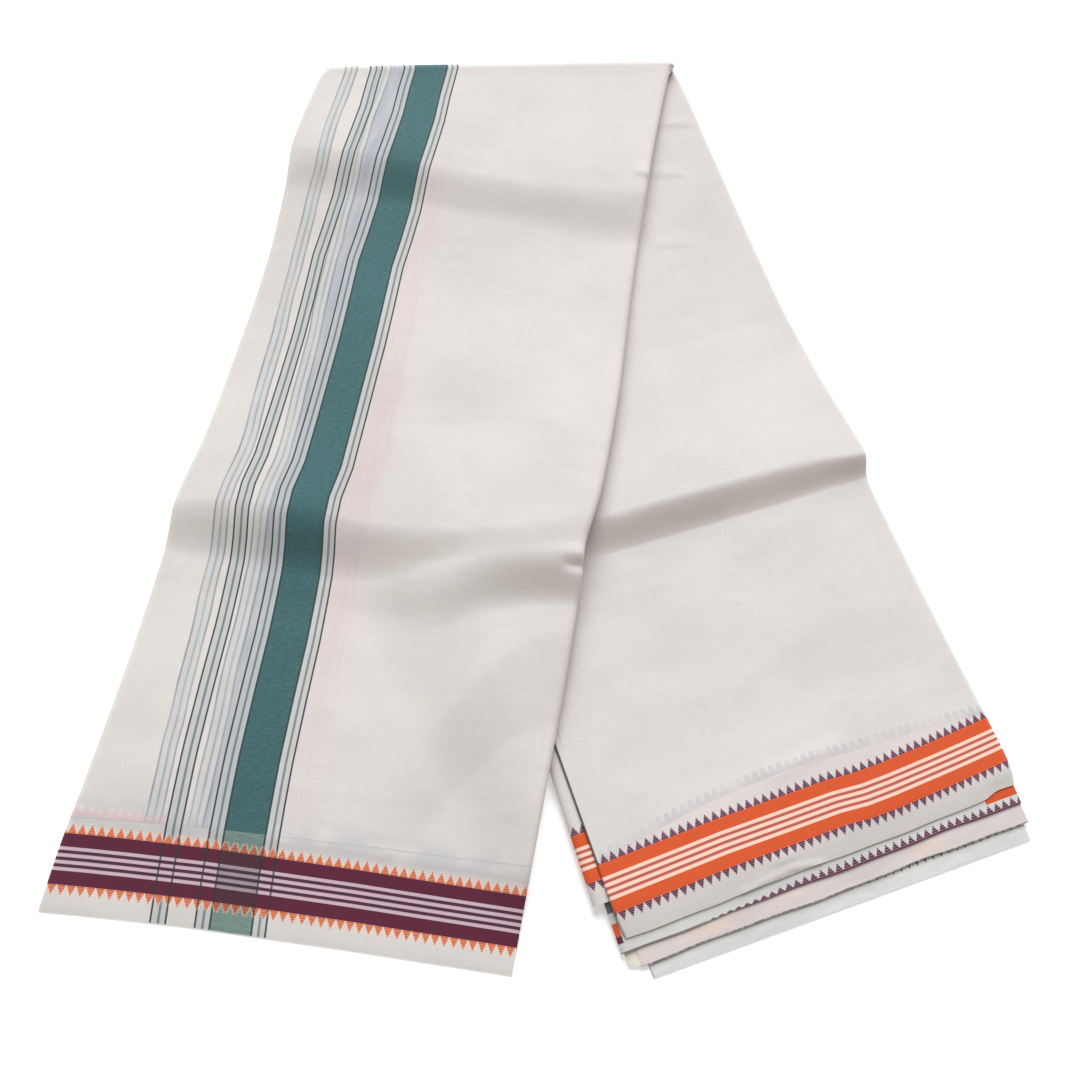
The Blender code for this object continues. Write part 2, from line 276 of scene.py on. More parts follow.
class CrestStation(NamedTuple):
    """A cut through a crest: where it starts to rise, its ridge, its foot, and how high the ridge is."""

    out: float
    start: float
    ridge: float
    foot: float
    rise: float


@dataclass(frozen=True)
class Crest:
    """A crest that packing left in the whole stack: a long gentle rise, a ridge and a short fall."""

    stations: tuple[CrestStation, ...]
    hardness: float = 0.2
    reach: float = 9.0
    rise_hardness: float = 0.55

    def height(self, along: Array, out: Array) -> Array:
        """How far the crest lifts each spot.

        Args:
            along: distances down the leg.
            out: distances across it.

        Returns:
            The heights.
        """
        table = np.array(self.stations)
        shifts = np.linspace(-self.reach, self.reach, 5)
        start, ridge, foot, rise = (
            sum(np.interp(out + shift, table[:, 0], table[:, column]) for shift in shifts) / len(shifts)
            for column in range(1, 5)
        )
        up = np.clip((along - start) / (ridge - start), 0.0, 1.0)
        fall = np.clip((along - ridge) / (foot - ridge), 0.0, 1.0)
        up = lerp(smoothstep(up), up, self.rise_hardness)
        fall = lerp(smoothstep(fall), fall, self.hardness)
        return rise * up * (1.0 - fall)


FRONT_CRESTS = (
    Crest(
        records(
            CrestStation,
            (-125, 64, 128, 160, 1.6),
            (-105, 56, 124, 161, 4.8),
            (-60, 44, 123, 156, 5.2),
            (-10, 31, 123, 155, 4.7),
            (40, 17, 122, 156, 4.8),
            (90, 4, 116, 157, 5.4),
            (112, -3, 112, 154, 5.6),
            (124, -6, 107, 150, 5.8),
        )
    ),
    Crest(
        records(
            CrestStation,
            (-125, 205, 398, 427, 4.8),
            (-105, 200, 392, 427, 7),
            (-60, 190, 390, 428, 9.4),
            (-35, 185, 389, 427, 9.4),
            (-10, 180, 391, 425, 7.6),
            (15, 175, 389, 420, 5.6),
            (40, 170, 387, 406, 3.4),
            (65, 165, 382, 401, 2),
            (90, 160, 375, 394, 1.7),
            (124, 155, 362, 380, 1.4),
        )
    ),
    Crest(
        records(
            CrestStation,
            (-10, 180, 412, 456, 0),
            (15, 175, 416, 452, 2),
            (40, 170, 412, 450, 3.8),
            (65, 165, 398, 434, 8.2),
            (90, 160, 393, 424, 9.4),
            (110, 155, 391, 419, 9.6),
            (124, 150, 390, 417, 9.6),
        ),
        hardness=0.25,
    ),
    Crest(
        records(
            CrestStation,
            (30, 200, 540, 590, 0),
            (55, 180, 502, 566, 2.8),
            (75, 165, 468, 532, 3.6),
            (95, 160, 446, 502, 4),
            (124, 150, 430, 486, 4),
        ),
        hardness=0.8,
    ),
)
BACK_CRESTS = (
    Crest(
        records(
            CrestStation,
            (-84, 270, 374, 396, 0),
            (-66, 270, 375, 396, 7.2),
            (-50, 270, 377, 397, 8.4),
            (0, 270, 377, 397.5, 8.6),
            (60, 270, 378, 397.5, 8.4),
            (90, 270, 380, 396.5, 8),
            (118, 270, 384, 396.5, 8),
        ),
        hardness=0.55,
        reach=5.0,
    ),
)
CRESTS = {Side.FRONT: FRONT_CRESTS, Side.BACK: BACK_CRESTS}


@dataclass(frozen=True)
class Crease:
    """A soft ridge or trough in the cloth, placed one by one. A trough's rise is below zero."""

    start: Pair
    end: Pair
    rise: float
    above: float
    below: float
    fade: float = 15.0
    sharpness: float = 2.0

    def height(self, along: Array, out: Array) -> Array:
        """How far the crease lifts each spot.

        Args:
            along: distances down the leg.
            out: distances across it.

        Returns:
            The heights.
        """
        start, end = np.array(self.start), np.array(self.end)
        run = end - start
        length = np.linalg.norm(run)
        run = run / length
        along_run = (along - start[0]) * run[0] + (out - start[1]) * run[1]
        off = (along - start[0]) * run[1] - (out - start[1]) * run[0]
        off = off if run[1] > 0 else -off
        width = np.where(off > 0.0, self.below, self.above)
        profile = np.exp(-((np.abs(off) / width) ** self.sharpness))
        ends = smoothstep(along_run / self.fade + 0.5) * smoothstep((length - along_run) / self.fade + 0.5)
        return self.rise * profile * ends


FRONT_CREASES = records(
    Crease,
    ((397, 112), (394, 145), -2.2, 4, 2.6, 12),
    ((389, 104), (388, 145), 0.5, 4, 3, 12),
    ((95, 115), (93.5, 146), 1, 9, 2.2, 10),
    ((447, -110), (440, 40), -0.5, 10, 16, 50),
    ((250, -70), (300, 110), 0.6, 34, 34, 60),
    ((330, -100), (310, 60), -0.5, 26, 26, 60),
    ((200, -110), (215, 110), -0.4, 26, 30, 60),
    ((583, -130), (571, 130), 0.4, 7, 2.5, 20),
)
BACK_CREASES = records(
    Crease,
    ((92, 92), (98, 117), 0.5, 8, 1.4, 8),
    ((134, 70), (139, 94), 0.5, 8, 1.4, 8),
    ((192, 52), (197, 74), 0.4, 8, 1.4, 8),
    ((300, -20), (285, 110), 0.5, 30, 30, 50),
    ((450, -90), (470, 90), 0.4, 26, 24, 60),
    ((520, -60), (500, 90), -0.5, 26, 26, 60),
    ((553, -20), (547, 25), 0.5, 5, 4, 20),
    ((595, -38), (596, -22), 0.6, 1.8, 1.6, 6),
    ((605, -60), (602, -26), 0.6, 1.6, 1.4, 8),
    ((602, -28), (605, -10), 0.6, 1.6, 1.4, 8),
    ((447, 1), (449, 5), 0.5, 1.2, 1.2, 3),
)
CREASES = {Side.FRONT: FRONT_CREASES, Side.BACK: BACK_CREASES}


def over_back_leg(leg: Leg, along: Array, out: Array) -> Array:
    """1 where the front leg lies on the back leg, falling to 0 where it lies on the floor.

    Args:
        leg: the leg that lies there.
        along: distances down the leg.
        out: distances across it.

    Returns:
        The share at each spot, and 0 all over on the back leg itself.
    """
    if leg.side is Side.BACK:
        return np.zeros(np.shape(along))
    outside = STRIP.back_left_edge - BACK.coordinates(leg.plan(along, out))[1]
    start, end = STRIP.ramp_narrows
    ramp_none = lerp(STRIP.ramp_none, STRIP.ramp_none_at_hem, smoothstep((along - start) / (end - start)))
    return 1.0 - smoothstep((outside - STRIP.ramp_full) / (ramp_none - STRIP.ramp_full))


def crest_rise(leg: Leg, along: Array, out: Array) -> Array:
    """How far the packing crests lift the cloth at each spot."""
    return sum(crest.height(along, out) for crest in CRESTS[leg.side])


@dataclass
class Spots:
    """A grid of spots on a leg, a row for each section."""

    leg: Leg
    rows: Array
    share: Array
    creased: bool = True

    @property
    def along(self) -> Array:
        """Distance of each spot down the leg."""
        return lerp(self.rows[:, 0:1], self.rows[:, 2:3], self.share)

    @property
    def out(self) -> Array:
        """Distance of each spot across the leg."""
        return lerp(self.rows[:, 1:2], self.rows[:, 3:4], self.share)

    def heights(self) -> tuple[Array, Array]:
        """The underside and the top of the layers at each spot.

        Returns:
            The heights of the underside, and those of the top.
        """
        over = over_back_leg(self.leg, self.along, self.out)
        rise = crest_rise(self.leg, self.along, self.out)
        under = over * (STRIP.back_stack + STRIP.gap + STRIP.underside_share * rise)
        creases = CREASES[self.leg.side] if self.creased else ()
        wrinkles = sum(crease.height(self.along, self.out) for crease in creases)
        return under, over * (STRIP.back_stack + STRIP.gap) + rise + self.rows[:, 4:5] + wrinkles


def edge_turn(steps: int) -> tuple[Array, Array]:
    """The inset and the share of the fall at each column of a turned edge, from the rim inwards."""
    angles = np.radians(np.linspace(STRIP.rim_angle, 90.0, steps))
    return STRIP.edge_round * (1.0 - np.cos(angles)), 1.0 - np.sin(angles)


def sheet_spots(
    leg: Leg, rows: Array, spacing: float, creased: bool = True, turn: int = 8
) -> tuple[Spots, Array, Array]:
    """The grid of a sheet that turns down at both edges.

    Args:
        leg: the leg it lies on.
        rows: its sections, one a line.
        spacing: distance between the columns of its flat part.
        creased: whether it follows the leg's creases.
        turn: number of columns in the turn at each edge.

    Returns:
        The spots, and the share of the left and of the right fall in each column.
    """
    inset, fall = edge_turn(turn)
    width = rows[:, 3:4] - rows[:, 1:2]
    flat = math.ceil((float(width.max()) - 2 * STRIP.edge_round) / spacing)
    middle = np.arange(1, flat) / flat
    edge = STRIP.edge_round / width
    share = np.hstack([inset / width, lerp(edge, 1.0 - edge, middle[None, :]), 1.0 - inset[::-1] / width])
    none = np.zeros(flat - 1)
    left_fall = np.concatenate([fall, none, 0 * inset])
    return Spots(leg, rows, share, creased), left_fall, left_fall[::-1]


# Meshes


@dataclass
class Grid:
    """Rows of points from the bend to a hem, each from left to right, with their place in the weave."""

    points: Array
    weave: Array
    under: Array

    def offset(self, depth: float) -> Array:
        """The points moved in from the outer face.

        Args:
            depth: how far they move.

        Returns:
            The points of the inner face.
        """
        down = np.gradient(self.points, axis=0)
        right = np.gradient(self.points, axis=1)
        normal = np.cross(down, right)
        normal /= np.maximum(np.linalg.norm(normal, axis=2, keepdims=True), 1e-12)
        return self.points - normal * depth


def plan_origin() -> Array:
    """Where the middle of the bend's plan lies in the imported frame, in metres."""
    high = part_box("front_sheet")[1]
    return np.array([high[0], high[1]]) - np.array(STRIP.bend_right) * MM


ORIGIN = plan_origin()


def placed(leg: Leg, along: Array, out: Array, height: Array) -> Array:
    """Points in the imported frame, in metres, from places on a leg and heights above the floor."""
    plan = leg.plan(along, out) * MM + ORIGIN
    return np.dstack([plan[..., 0], plan[..., 1], height * MM])


def closed_mesh(name: str, upper: Grid, lower: Array, sharp: float) -> bpy.types.Object:
    """A closed body between two grids of points.

    Args:
        name: the piece's name.
        upper: the outer face.
        lower: the inner face's points, as many as the outer face has.
        sharp: the angle, in degrees, past which an edge stays sharp.

    Returns:
        The piece, linked to the scene.
    """
    count_rows, count_columns = upper.points.shape[:2]
    index = np.arange(count_rows * count_columns).reshape(count_rows, count_columns)
    top = quads(index)
    bottom = quads(index + index.size)[:, ::-1]
    rim = np.concatenate([index[:, 0], index[-1, 1:], index[-2::-1, -1], index[0, -2:0:-1]])
    following = np.roll(rim, -1)
    side = np.stack([rim, rim + index.size, following + index.size, following], axis=1)
    faces = np.concatenate([top, bottom, side])
    data = bpy.data.meshes.new(name)
    data.from_pydata(
        np.concatenate([upper.points.reshape(-1, 3), lower.reshape(-1, 3)]).tolist(), [], faces.tolist()
    )
    for label, values in (("weave", upper.weave), ("under", upper.under)):
        layer = data.attributes.new(label, "FLOAT_VECTOR", "POINT")
        flat = np.concatenate([values.reshape(-1, 3)] * 2).astype(np.float32)
        layer.data.foreach_set("vector", flat.ravel())
    data.shade_smooth()
    data.set_sharp_from_angle(angle=math.radians(sharp))
    data.update()
    piece = bpy.data.objects.new(name, data)
    bpy.context.scene.collection.objects.link(piece)
    return piece


def quads(index: Array) -> Array:
    """The four corners of each face of a grid, by their indices."""
    return np.stack([index[:-1, :-1], index[1:, :-1], index[1:, 1:], index[:-1, 1:]], axis=2).reshape(-1, 4)


# Shader nodes

VALUE, VECTOR, COLOUR = "NodeSocketFloat", "NodeSocketVector", "NodeSocketColor"
PALE = (0.8, 0.8, 0.8, 1.0)
NOISE_RANGE = (0.3, 0.7)


def linear(colour: Colour) -> tuple[float, float, float, float]:
    """A colour given as it looks, from 0 to 255, as the shader's own values.

    Args:
        colour: its red, green and blue parts.

    Returns:
        Its values, with a full alpha.
    """
    values = []
    for part in colour:
        share = part / 255.0
        values.append(share / 12.92 if share <= 0.04045 else ((share + 0.055) / 1.055) ** 2.4)
    return (*values, 1.0)


class Board:
    """Lays shader nodes on one tree and joins them."""

    def __init__(self, tree: bpy.types.NodeTree) -> None:
        """Starts a board on a tree."""
        self.tree = tree

    def add(self, kind: str, **settings: object) -> bpy.types.Node:
        """A new node with its settings.

        Args:
            kind: the node's type.
            settings: its own properties by name.

        Returns:
            The node.
        """
        node = self.tree.nodes.new(kind)
        for key, value in settings.items():
            setattr(node, key, value)
        return node

    def feed(self, socket: Socket, value: Value) -> None:
        """Joins a value to a socket, or sets the socket to a plain one.

        Args:
            socket: what is fed.
            value: another socket or a plain value, where three parts are a colour as it looks.
        """
        if isinstance(value, Socket):
            self.tree.links.new(value, socket)
        else:
            socket.default_value = linear(value) if isinstance(value, tuple) and len(value) == 3 else value

    def read(self, label: str) -> Socket:
        """The mesh's own vector of that name at each spot."""
        return self.add("ShaderNodeAttribute", attribute_name=label).outputs["Vector"]

    def joined(self, kind: str, *values: Value, **settings: object) -> Socket:
        """The first output of a new node, with its inputs fed in order.

        Args:
            kind: the node's type.
            values: what its inputs are fed, from the first on.
            settings: its own properties by name.

        Returns:
            The output.
        """
        node = self.add(kind, **settings)
        for socket, value in zip(node.inputs, values):
            self.feed(socket, value)
        return node.outputs[0]

    def math(self, operation: str, *values: Value) -> Socket:
        """The result of a sum on up to three values."""
        return self.joined("ShaderNodeMath", *values, operation=operation)

    def times(self, *values: Value) -> Socket:
        """The product of the values."""
        return reduce(partial(self.math, "MULTIPLY"), values)

    def plus(self, *values: Value) -> Socket:
        """The sum of the values."""
        return reduce(partial(self.math, "ADD"), values)

    def minus(self, value: Value, less: Value) -> Socket:
        """The first value less the second."""
        return self.math("SUBTRACT", value, less)

    def ratio(self, value: Value, divisor: Value) -> Socket:
        """The first value divided by the second."""
        return self.math("DIVIDE", value, divisor)

    def remap(self, value: Value, low: Value, high: Value, start: Value = 0.0, end: Value = 1.0) -> Socket:
        """A value moved from one range to another along a soft step, and held at the ends."""
        return self.joined("ShaderNodeMapRange", value, low, high, start, end, interpolation_type="SMOOTHSTEP")

    def span(self, value: Value, start: Value, end: Value, soft: float = 0.25) -> Socket:
        """1 between two values and 0 outside them.

        Args:
            value: what is tested.
            start: where the span starts.
            end: where it ends.
            soft: how wide its soft ends are.

        Returns:
            The socket with the mask.
        """
        half = soft / 2
        above = self.remap(value, self.minus(start, half), self.plus(start, half))
        return self.times(above, self.remap(value, self.minus(end, half), self.plus(end, half), 1.0, 0.0))

    def line(self, value: Value, centre: float, width: float, soft: float = 0.3) -> Socket:
        """1 on a thin line at a value, and 0 away from it."""
        away = self.math("ABSOLUTE", self.minus(value, centre))
        return self.remap(away, (width - soft) / 2, (width + soft) / 2, 1.0, 0.0)

    def blend(self, share: Value, first: Value, second: Value, mode: str = "MIX") -> Socket:
        """Two colours mixed.

        Args:
            share: how much of the second there is.
            first: the colour below.
            second: the colour above.
            mode: how the second is laid on the first.

        Returns:
            The socket with the mixed colour.
        """
        node = self.add("ShaderNodeMix", data_type="RGBA", blend_type=mode)
        self.feed(node.inputs[0], share)
        self.feed(node.inputs[6], first)
        self.feed(node.inputs[7], second)
        return node.outputs[2]

    def point(self, x: Value, y: Value, z: Value) -> Socket:
        """Three values as one vector."""
        return self.joined("ShaderNodeCombineXYZ", x, y, z)

    def parts(self, vector: Value) -> tuple[Socket, ...]:
        """The three values of a vector."""
        return tuple(self.joined("ShaderNodeSeparateXYZ", vector).node.outputs[:3])

    def noise(self, vector: Value, scale: float, detail: float = 2.0, roughness: float = 0.5) -> Socket:
        """Smooth noise at a scale, as a value about 0.5.

        Args:
            vector: where it is read.
            scale: how fine it is.
            detail: how many finer layers it has.
            roughness: how strong those are.

        Returns:
            The socket with the noise.
        """
        node = self.add("ShaderNodeTexNoise", noise_dimensions="3D")
        for label, value in {"Vector": vector, "Scale": scale, "Detail": detail, "Roughness": roughness}.items():
            self.feed(node.inputs[label], value)
        return node.outputs[0]

    def speckle(self, x: Value, y: Value, seed: float, scale: float, **finer: float) -> Socket:
        """Noise over two values, told apart from the other noises by its seed."""
        return self.noise(self.point(x, y, seed), scale, **finer)

    def shaded(self, colour: Value, light: Value) -> Socket:
        """A colour made lighter or darker by a value."""
        return self.blend(1.0, colour, self.point(light, light, light), "MULTIPLY")

    def relief(self, height: Value, strength: float, depth: float) -> bpy.types.Node:
        """A bump from a height.

        Args:
            height: what stands out.
            strength: how much of it shows.
            depth: how far 1 stands out, in metres.

        Returns:
            The bump node.
        """
        node = self.add("ShaderNodeBump")
        for label, value in {"Strength": strength, "Distance": depth, "Height": height}.items():
            self.feed(node.inputs[label], value)
        return node


class Effect:
    """A surface effect kept as a shader node group, built once and placed wherever it is needed."""

    name: ClassVar[str]
    inputs: ClassVar[dict[str, float | tuple]]
    outputs: ClassVar[dict[str, str]]

    def tree(self) -> bpy.types.NodeTree:
        """The node group, made the first time it is asked for.

        Returns:
            The group.
        """
        found = bpy.data.node_groups.get(self.name)
        if found:
            return found
        tree = bpy.data.node_groups.new(self.name, "ShaderNodeTree")
        kinds = {1: VALUE, 3: VECTOR, 4: COLOUR}
        for label, default in self.inputs.items():
            size = len(default) if isinstance(default, tuple) else 1
            socket = tree.interface.new_socket(label, in_out="INPUT", socket_type=kinds[size])
            socket.default_value = default
        for label, kind in self.outputs.items():
            tree.interface.new_socket(label, in_out="OUTPUT", socket_type=kind)
        board = Board(tree)
        given = board.add("NodeGroupInput")
        result = board.add("NodeGroupOutput")
        made = self.lay(board, {label: given.outputs[label] for label in self.inputs})
        for label, socket in made.items():
            tree.links.new(socket, result.inputs[label])
        return tree

    def lay(self, board: Board, given: Sockets) -> Sockets:
        """Lays the effect's nodes from the group's inputs, and gives its outputs by name."""
        raise NotImplementedError

    def place(self, board: Board, **values: Value) -> Sockets:
        """Places the group on a board.

        Args:
            board: where it goes.
            values: the inputs by name, with _ for a space.

        Returns:
            Its outputs by name.
        """
        node = board.add("ShaderNodeGroup", node_tree=self.tree())
        for key, value in values.items():
            board.feed(node.inputs[key.replace("_", " ").title()], value)
        return {label: node.outputs[label] for label in self.outputs}


class PlainWeave(Effect):
    """Plain cotton weave: threads over and under, slubs, and an uneven tone."""

    name = "plain weave"
    stretch: ClassVar[float] = 0.12
    thread_scale: ClassVar[float] = 1.5
    tone_scale: ClassVar[float] = 0.016
    crossing_height: ClassVar[float] = 0.5
    thread_height: ClassVar[float] = 1.2
    inputs = {"Weave": (0.0, 0.0, 0.0), "Pitch": 0.45}
    outputs = {"Height": VALUE, "Threads": VALUE, "Tone": VALUE}

    def lay(self, board: Board, given: Sockets) -> Sockets:
        """Lays the threads of both directions, and the slow unevenness over them.

        Args:
            board: the board of the group's own tree.
            given: the group's inputs by name.

        Returns:
            The group's outputs by name.
        """
        across, from_hem, _ = board.parts(given["Weave"])
        turns = [board.times(board.ratio(value, given["Pitch"]), 2 * math.pi) for value in (across, from_hem)]
        crossing = board.times(*[board.math("SINE", turn) for turn in turns])
        weft = board.speckle(board.times(across, self.stretch), from_hem, seed=0.0, scale=self.thread_scale)
        warp = board.speckle(across, board.times(from_hem, self.stretch), seed=7.0, scale=self.thread_scale)
        threads = board.times(board.plus(weft, warp), 0.5)
        slow = board.noise(given["Weave"], self.tone_scale, detail=3.0)
        height = board.plus(board.times(crossing, self.crossing_height), board.times(threads, self.thread_height))
        return {"Height": height, "Threads": threads, "Tone": slow}


class TempleTeeth(Effect):
    """A row of stepped triangular teeth, woven in tiers."""

    name = "temple teeth"
    tier_middle: ClassVar[float] = 0.35
    edge_soft: ClassVar[float] = 0.07
    row_soft: ClassVar[float] = 0.06
    tier_gap: ClassVar[Pair] = (0.72, 0.9)
    gap_cover: ClassVar[float] = 0.55
    halo_reach: ClassVar[float] = 0.55
    inputs = {"Across": 0.0, "Level": 0.0, "Pitch": 5.06, "Tiers": 4.0, "Fullness": 0.92}
    outputs = {"Teeth": VALUE, "Halo": VALUE}

    def lay(self, board: Board, given: Sockets) -> Sockets:
        """Lays the teeth over a level that goes from 0 at their base to 1 at their tips.

        Args:
            board: the board of the group's own tree.
            given: the group's inputs by name.

        Returns:
            The group's outputs by name.
        """
        turn = board.math("FRACT", board.ratio(given["Across"], given["Pitch"]))
        away = board.math("ABSOLUTE", board.math("MULTIPLY_ADD", turn, 2.0, -1.0))
        raised = board.times(given["Level"], given["Tiers"])
        tier = board.ratio(board.plus(board.math("FLOOR", raised), self.tier_middle), given["Tiers"])
        width = board.times(board.minus(1.0, tier), given["Fullness"])
        inside = board.remap(board.minus(width, away), -self.edge_soft, self.edge_soft)
        row = board.span(given["Level"], 0.0, 1.0, self.row_soft)
        gap = board.remap(board.math("FRACT", raised), *self.tier_gap, 1.0, self.gap_cover)
        halo = board.times(board.remap(board.minus(width, away), -self.halo_reach, 0.0), row)
        return {"Teeth": board.times(inside, row, gap), "Halo": halo}


class WovenBorder(Effect):
    """A woven border: two solid bands with four pale lines between them, and teeth on both sides."""

    name = "woven border"
    gaps: ClassVar[float] = 3.0
    line_soft: ClassVar[float] = 0.12
    inputs = {
        "Across": 0.0,
        "From Hem": 0.0,
        "Band Start": 13.8,
        "Lines Start": 20.8,
        "Lines End": 33.0,
        "Band End": 39.9,
        "Teeth": 4.9,
        "Pitch": 5.06,
        "Line Share": 0.52,
        "Glow Share": 0.5,
        **dict.fromkeys(("Band", "Line", "Separator", "Tooth", "Glow", "Ground"), PALE),
    }
    outputs = {"Color": COLOUR, "Cover": VALUE}

    def lay(self, board: Board, given: Sockets) -> Sockets:
        """Lays the teeth first, then the bands, then the pale lines.

        Args:
            board: the board of the group's own tree.
            given: the group's inputs by name.

        Returns:
            The group's outputs by name.
        """
        place = given["From Hem"]
        colour = given["Ground"]
        cover = None
        lower = board.ratio(board.minus(given["Band Start"], place), given["Teeth"])
        upper = board.ratio(board.minus(place, given["Band End"]), given["Teeth"])
        for level in (lower, upper):
            row = TempleTeeth().place(board, across=given["Across"], level=level, pitch=given["Pitch"])
            colour = board.blend(board.times(row["Halo"], given["Glow Share"]), colour, given["Glow"])
            colour = board.blend(row["Teeth"], colour, given["Tooth"])
            cover = row["Teeth"] if cover is None else board.math("MAXIMUM", cover, row["Teeth"])
        band = board.span(place, given["Band Start"], given["Band End"])
        colour = board.blend(band, colour, given["Band"])
        inner = board.span(place, given["Lines Start"], given["Lines End"])
        reach = board.minus(given["Lines End"], given["Lines Start"])
        period = board.ratio(reach, board.plus(given["Line Share"], self.gaps))
        turn = board.math("FRACT", board.ratio(board.minus(place, given["Lines Start"]), period))
        pale = board.span(turn, 0.0, given["Line Share"], self.line_soft)
        colour = board.blend(inner, colour, given["Separator"])
        colour = board.blend(board.times(inner, pale), colour, given["Line"])
        return {"Color": colour, "Cover": board.math("MAXIMUM", cover, band)}


class Stripe(NamedTuple):
    """One line or band of the end stripes, measured from the outermost dark line."""

    centre: float
    width: float
    tone: str
    cover: float


END_STRIPES = (
    Stripe(4.1, 7.2, "pale", 0.7),
    Stripe(27.2, 7.2, "pale", 0.75),
    Stripe(56.6, 6.8, "grey", 0.85),
    Stripe(4.1, 1.3, "middle", 0.8),
    Stripe(27.2, 1.3, "middle", 0.8),
    Stripe(56.6, 1.3, "middle", 0.75),
    Stripe(41.9, 21.6, "green", 1.0),
    *(Stripe(centre, 1.0, "dark", 0.95) for centre in (0.0, 7.9, 23.2, 30.9, 52.9, 60.2)),
)


class EndStripes(Effect):
    """The stripes that run along one end of the cloth, a green band among thin dark lines."""

    name = "end stripes"
    inputs = {
        "Across": 0.0,
        "Strength": 1.0,
        **dict.fromkeys(("Ground", "Green", "Dark", "Middle", "Pale", "Grey"), PALE),
    }
    outputs = {"Color": COLOUR, "Green": VALUE, "Dark": VALUE}
    line_soft: ClassVar[float] = 0.35
    broad_soft: ClassVar[float] = 1.2

    def lay(self, board: Board, given: Sockets) -> Sockets:
        """Lays each stripe over the ground, pale ones first.

        Args:
            board: the board of the group's own tree.
            given: the group's inputs by name.

        Returns:
            The group's outputs by name.
        """
        colour = given["Ground"]
        masks = {"green": None, "dark": None}
        for stripe in END_STRIPES:
            soft = self.broad_soft if stripe.tone in ("pale", "grey") else self.line_soft
            mask = board.line(given["Across"], stripe.centre, stripe.width, soft)
            share = board.times(mask, stripe.cover, given["Strength"])
            colour = board.blend(share, colour, given[stripe.tone.title()])
            if stripe.tone in masks:
                known = masks[stripe.tone]
                masks[stripe.tone] = mask if known is None else board.math("MAXIMUM", known, mask)
        return {"Color": colour, "Green": masks["green"], "Dark": masks["dark"]}


class GhostStripes(EndStripes):
    """The stripes of the layer beneath, blurred where they show through the cloth."""

    name = "ghost stripes"
    line_soft = 0.9
    broad_soft = 2.2


class SoftWrinkles(Effect):
    """Fine uneven wrinkles left by folding, as a height."""

    name = "soft wrinkles"
    stretch: ClassVar[float] = 0.35
    dimple_height: ClassVar[float] = 0.12
    inputs = {"Weave": (0.0, 0.0, 0.0), "Amount": 1.0}
    outputs = {"Height": VALUE}

    def lay(self, board: Board, given: Sockets) -> Sockets:
        """Lays long shallow wrinkles across the leg and small dimples between them.

        Args:
            board: the board of the group's own tree.
            given: the group's inputs by name.

        Returns:
            The group's outputs by name.
        """
        across, from_hem, _ = board.parts(given["Weave"])
        stretched = board.times(across, self.stretch)
        long = board.speckle(stretched, from_hem, seed=3.0, scale=0.035, detail=3.0, roughness=0.55)
        small = board.speckle(across, from_hem, seed=11.0, scale=0.14)
        height = board.plus(long, board.times(small, self.dimple_height))
        return {"Height": board.times(height, given["Amount"])}


# Finishes


@dataclass(frozen=True)
class Palette:
    """The cloth's dyed and undyed yarns, as they look."""

    cotton: Colour = (228, 220, 215)
    cotton_low: Colour = (220, 219, 216)
    cotton_pink: Colour = (226, 214, 212)
    cream: Colour = (232, 228, 212)
    green: Colour = (70, 107, 110)
    green_thin: Colour = (127, 150, 145)
    dark_line: Colour = (42, 56, 57)
    middle_line: Colour = (104, 108, 108)
    pale_line: Colour = (188, 194, 195)
    grey_line: Colour = (202, 201, 201)
    ghost_line: Colour = (132, 137, 142)
    ghost_middle: Colour = (156, 160, 163)
    ghost_pale: Colour = (200, 201, 204)
    ghost_green: Colour = (180, 182, 192)
    maroon: Colour = (97, 36, 59)
    maroon_line: Colour = (212, 184, 198)
    maroon_gap: Colour = (85, 48, 64)
    orange: Colour = (222, 90, 45)
    orange_line: Colour = (255, 214, 194)
    orange_gap: Colour = (197, 96, 82)
    orange_tooth: Colour = (221, 112, 70)
    orange_glow: Colour = (250, 214, 192)
    maroon_tooth: Colour = (104, 45, 76)
    maroon_glow: Colour = (212, 205, 214)
    slate_tooth: Colour = (78, 74, 82)
    rose_shadow: Colour = (222, 180, 182)
    pink_shadow: Colour = (226, 201, 202)
    grey_shadow: Colour = (188, 187, 195)


YARN = Palette()
BACK_PITCH = 5.15


class Place(NamedTuple):
    """Where a spot lies in the weave: across the leg, up from the hem, and down from the bend."""

    across: Socket
    from_hem: Socket
    from_bend: Socket


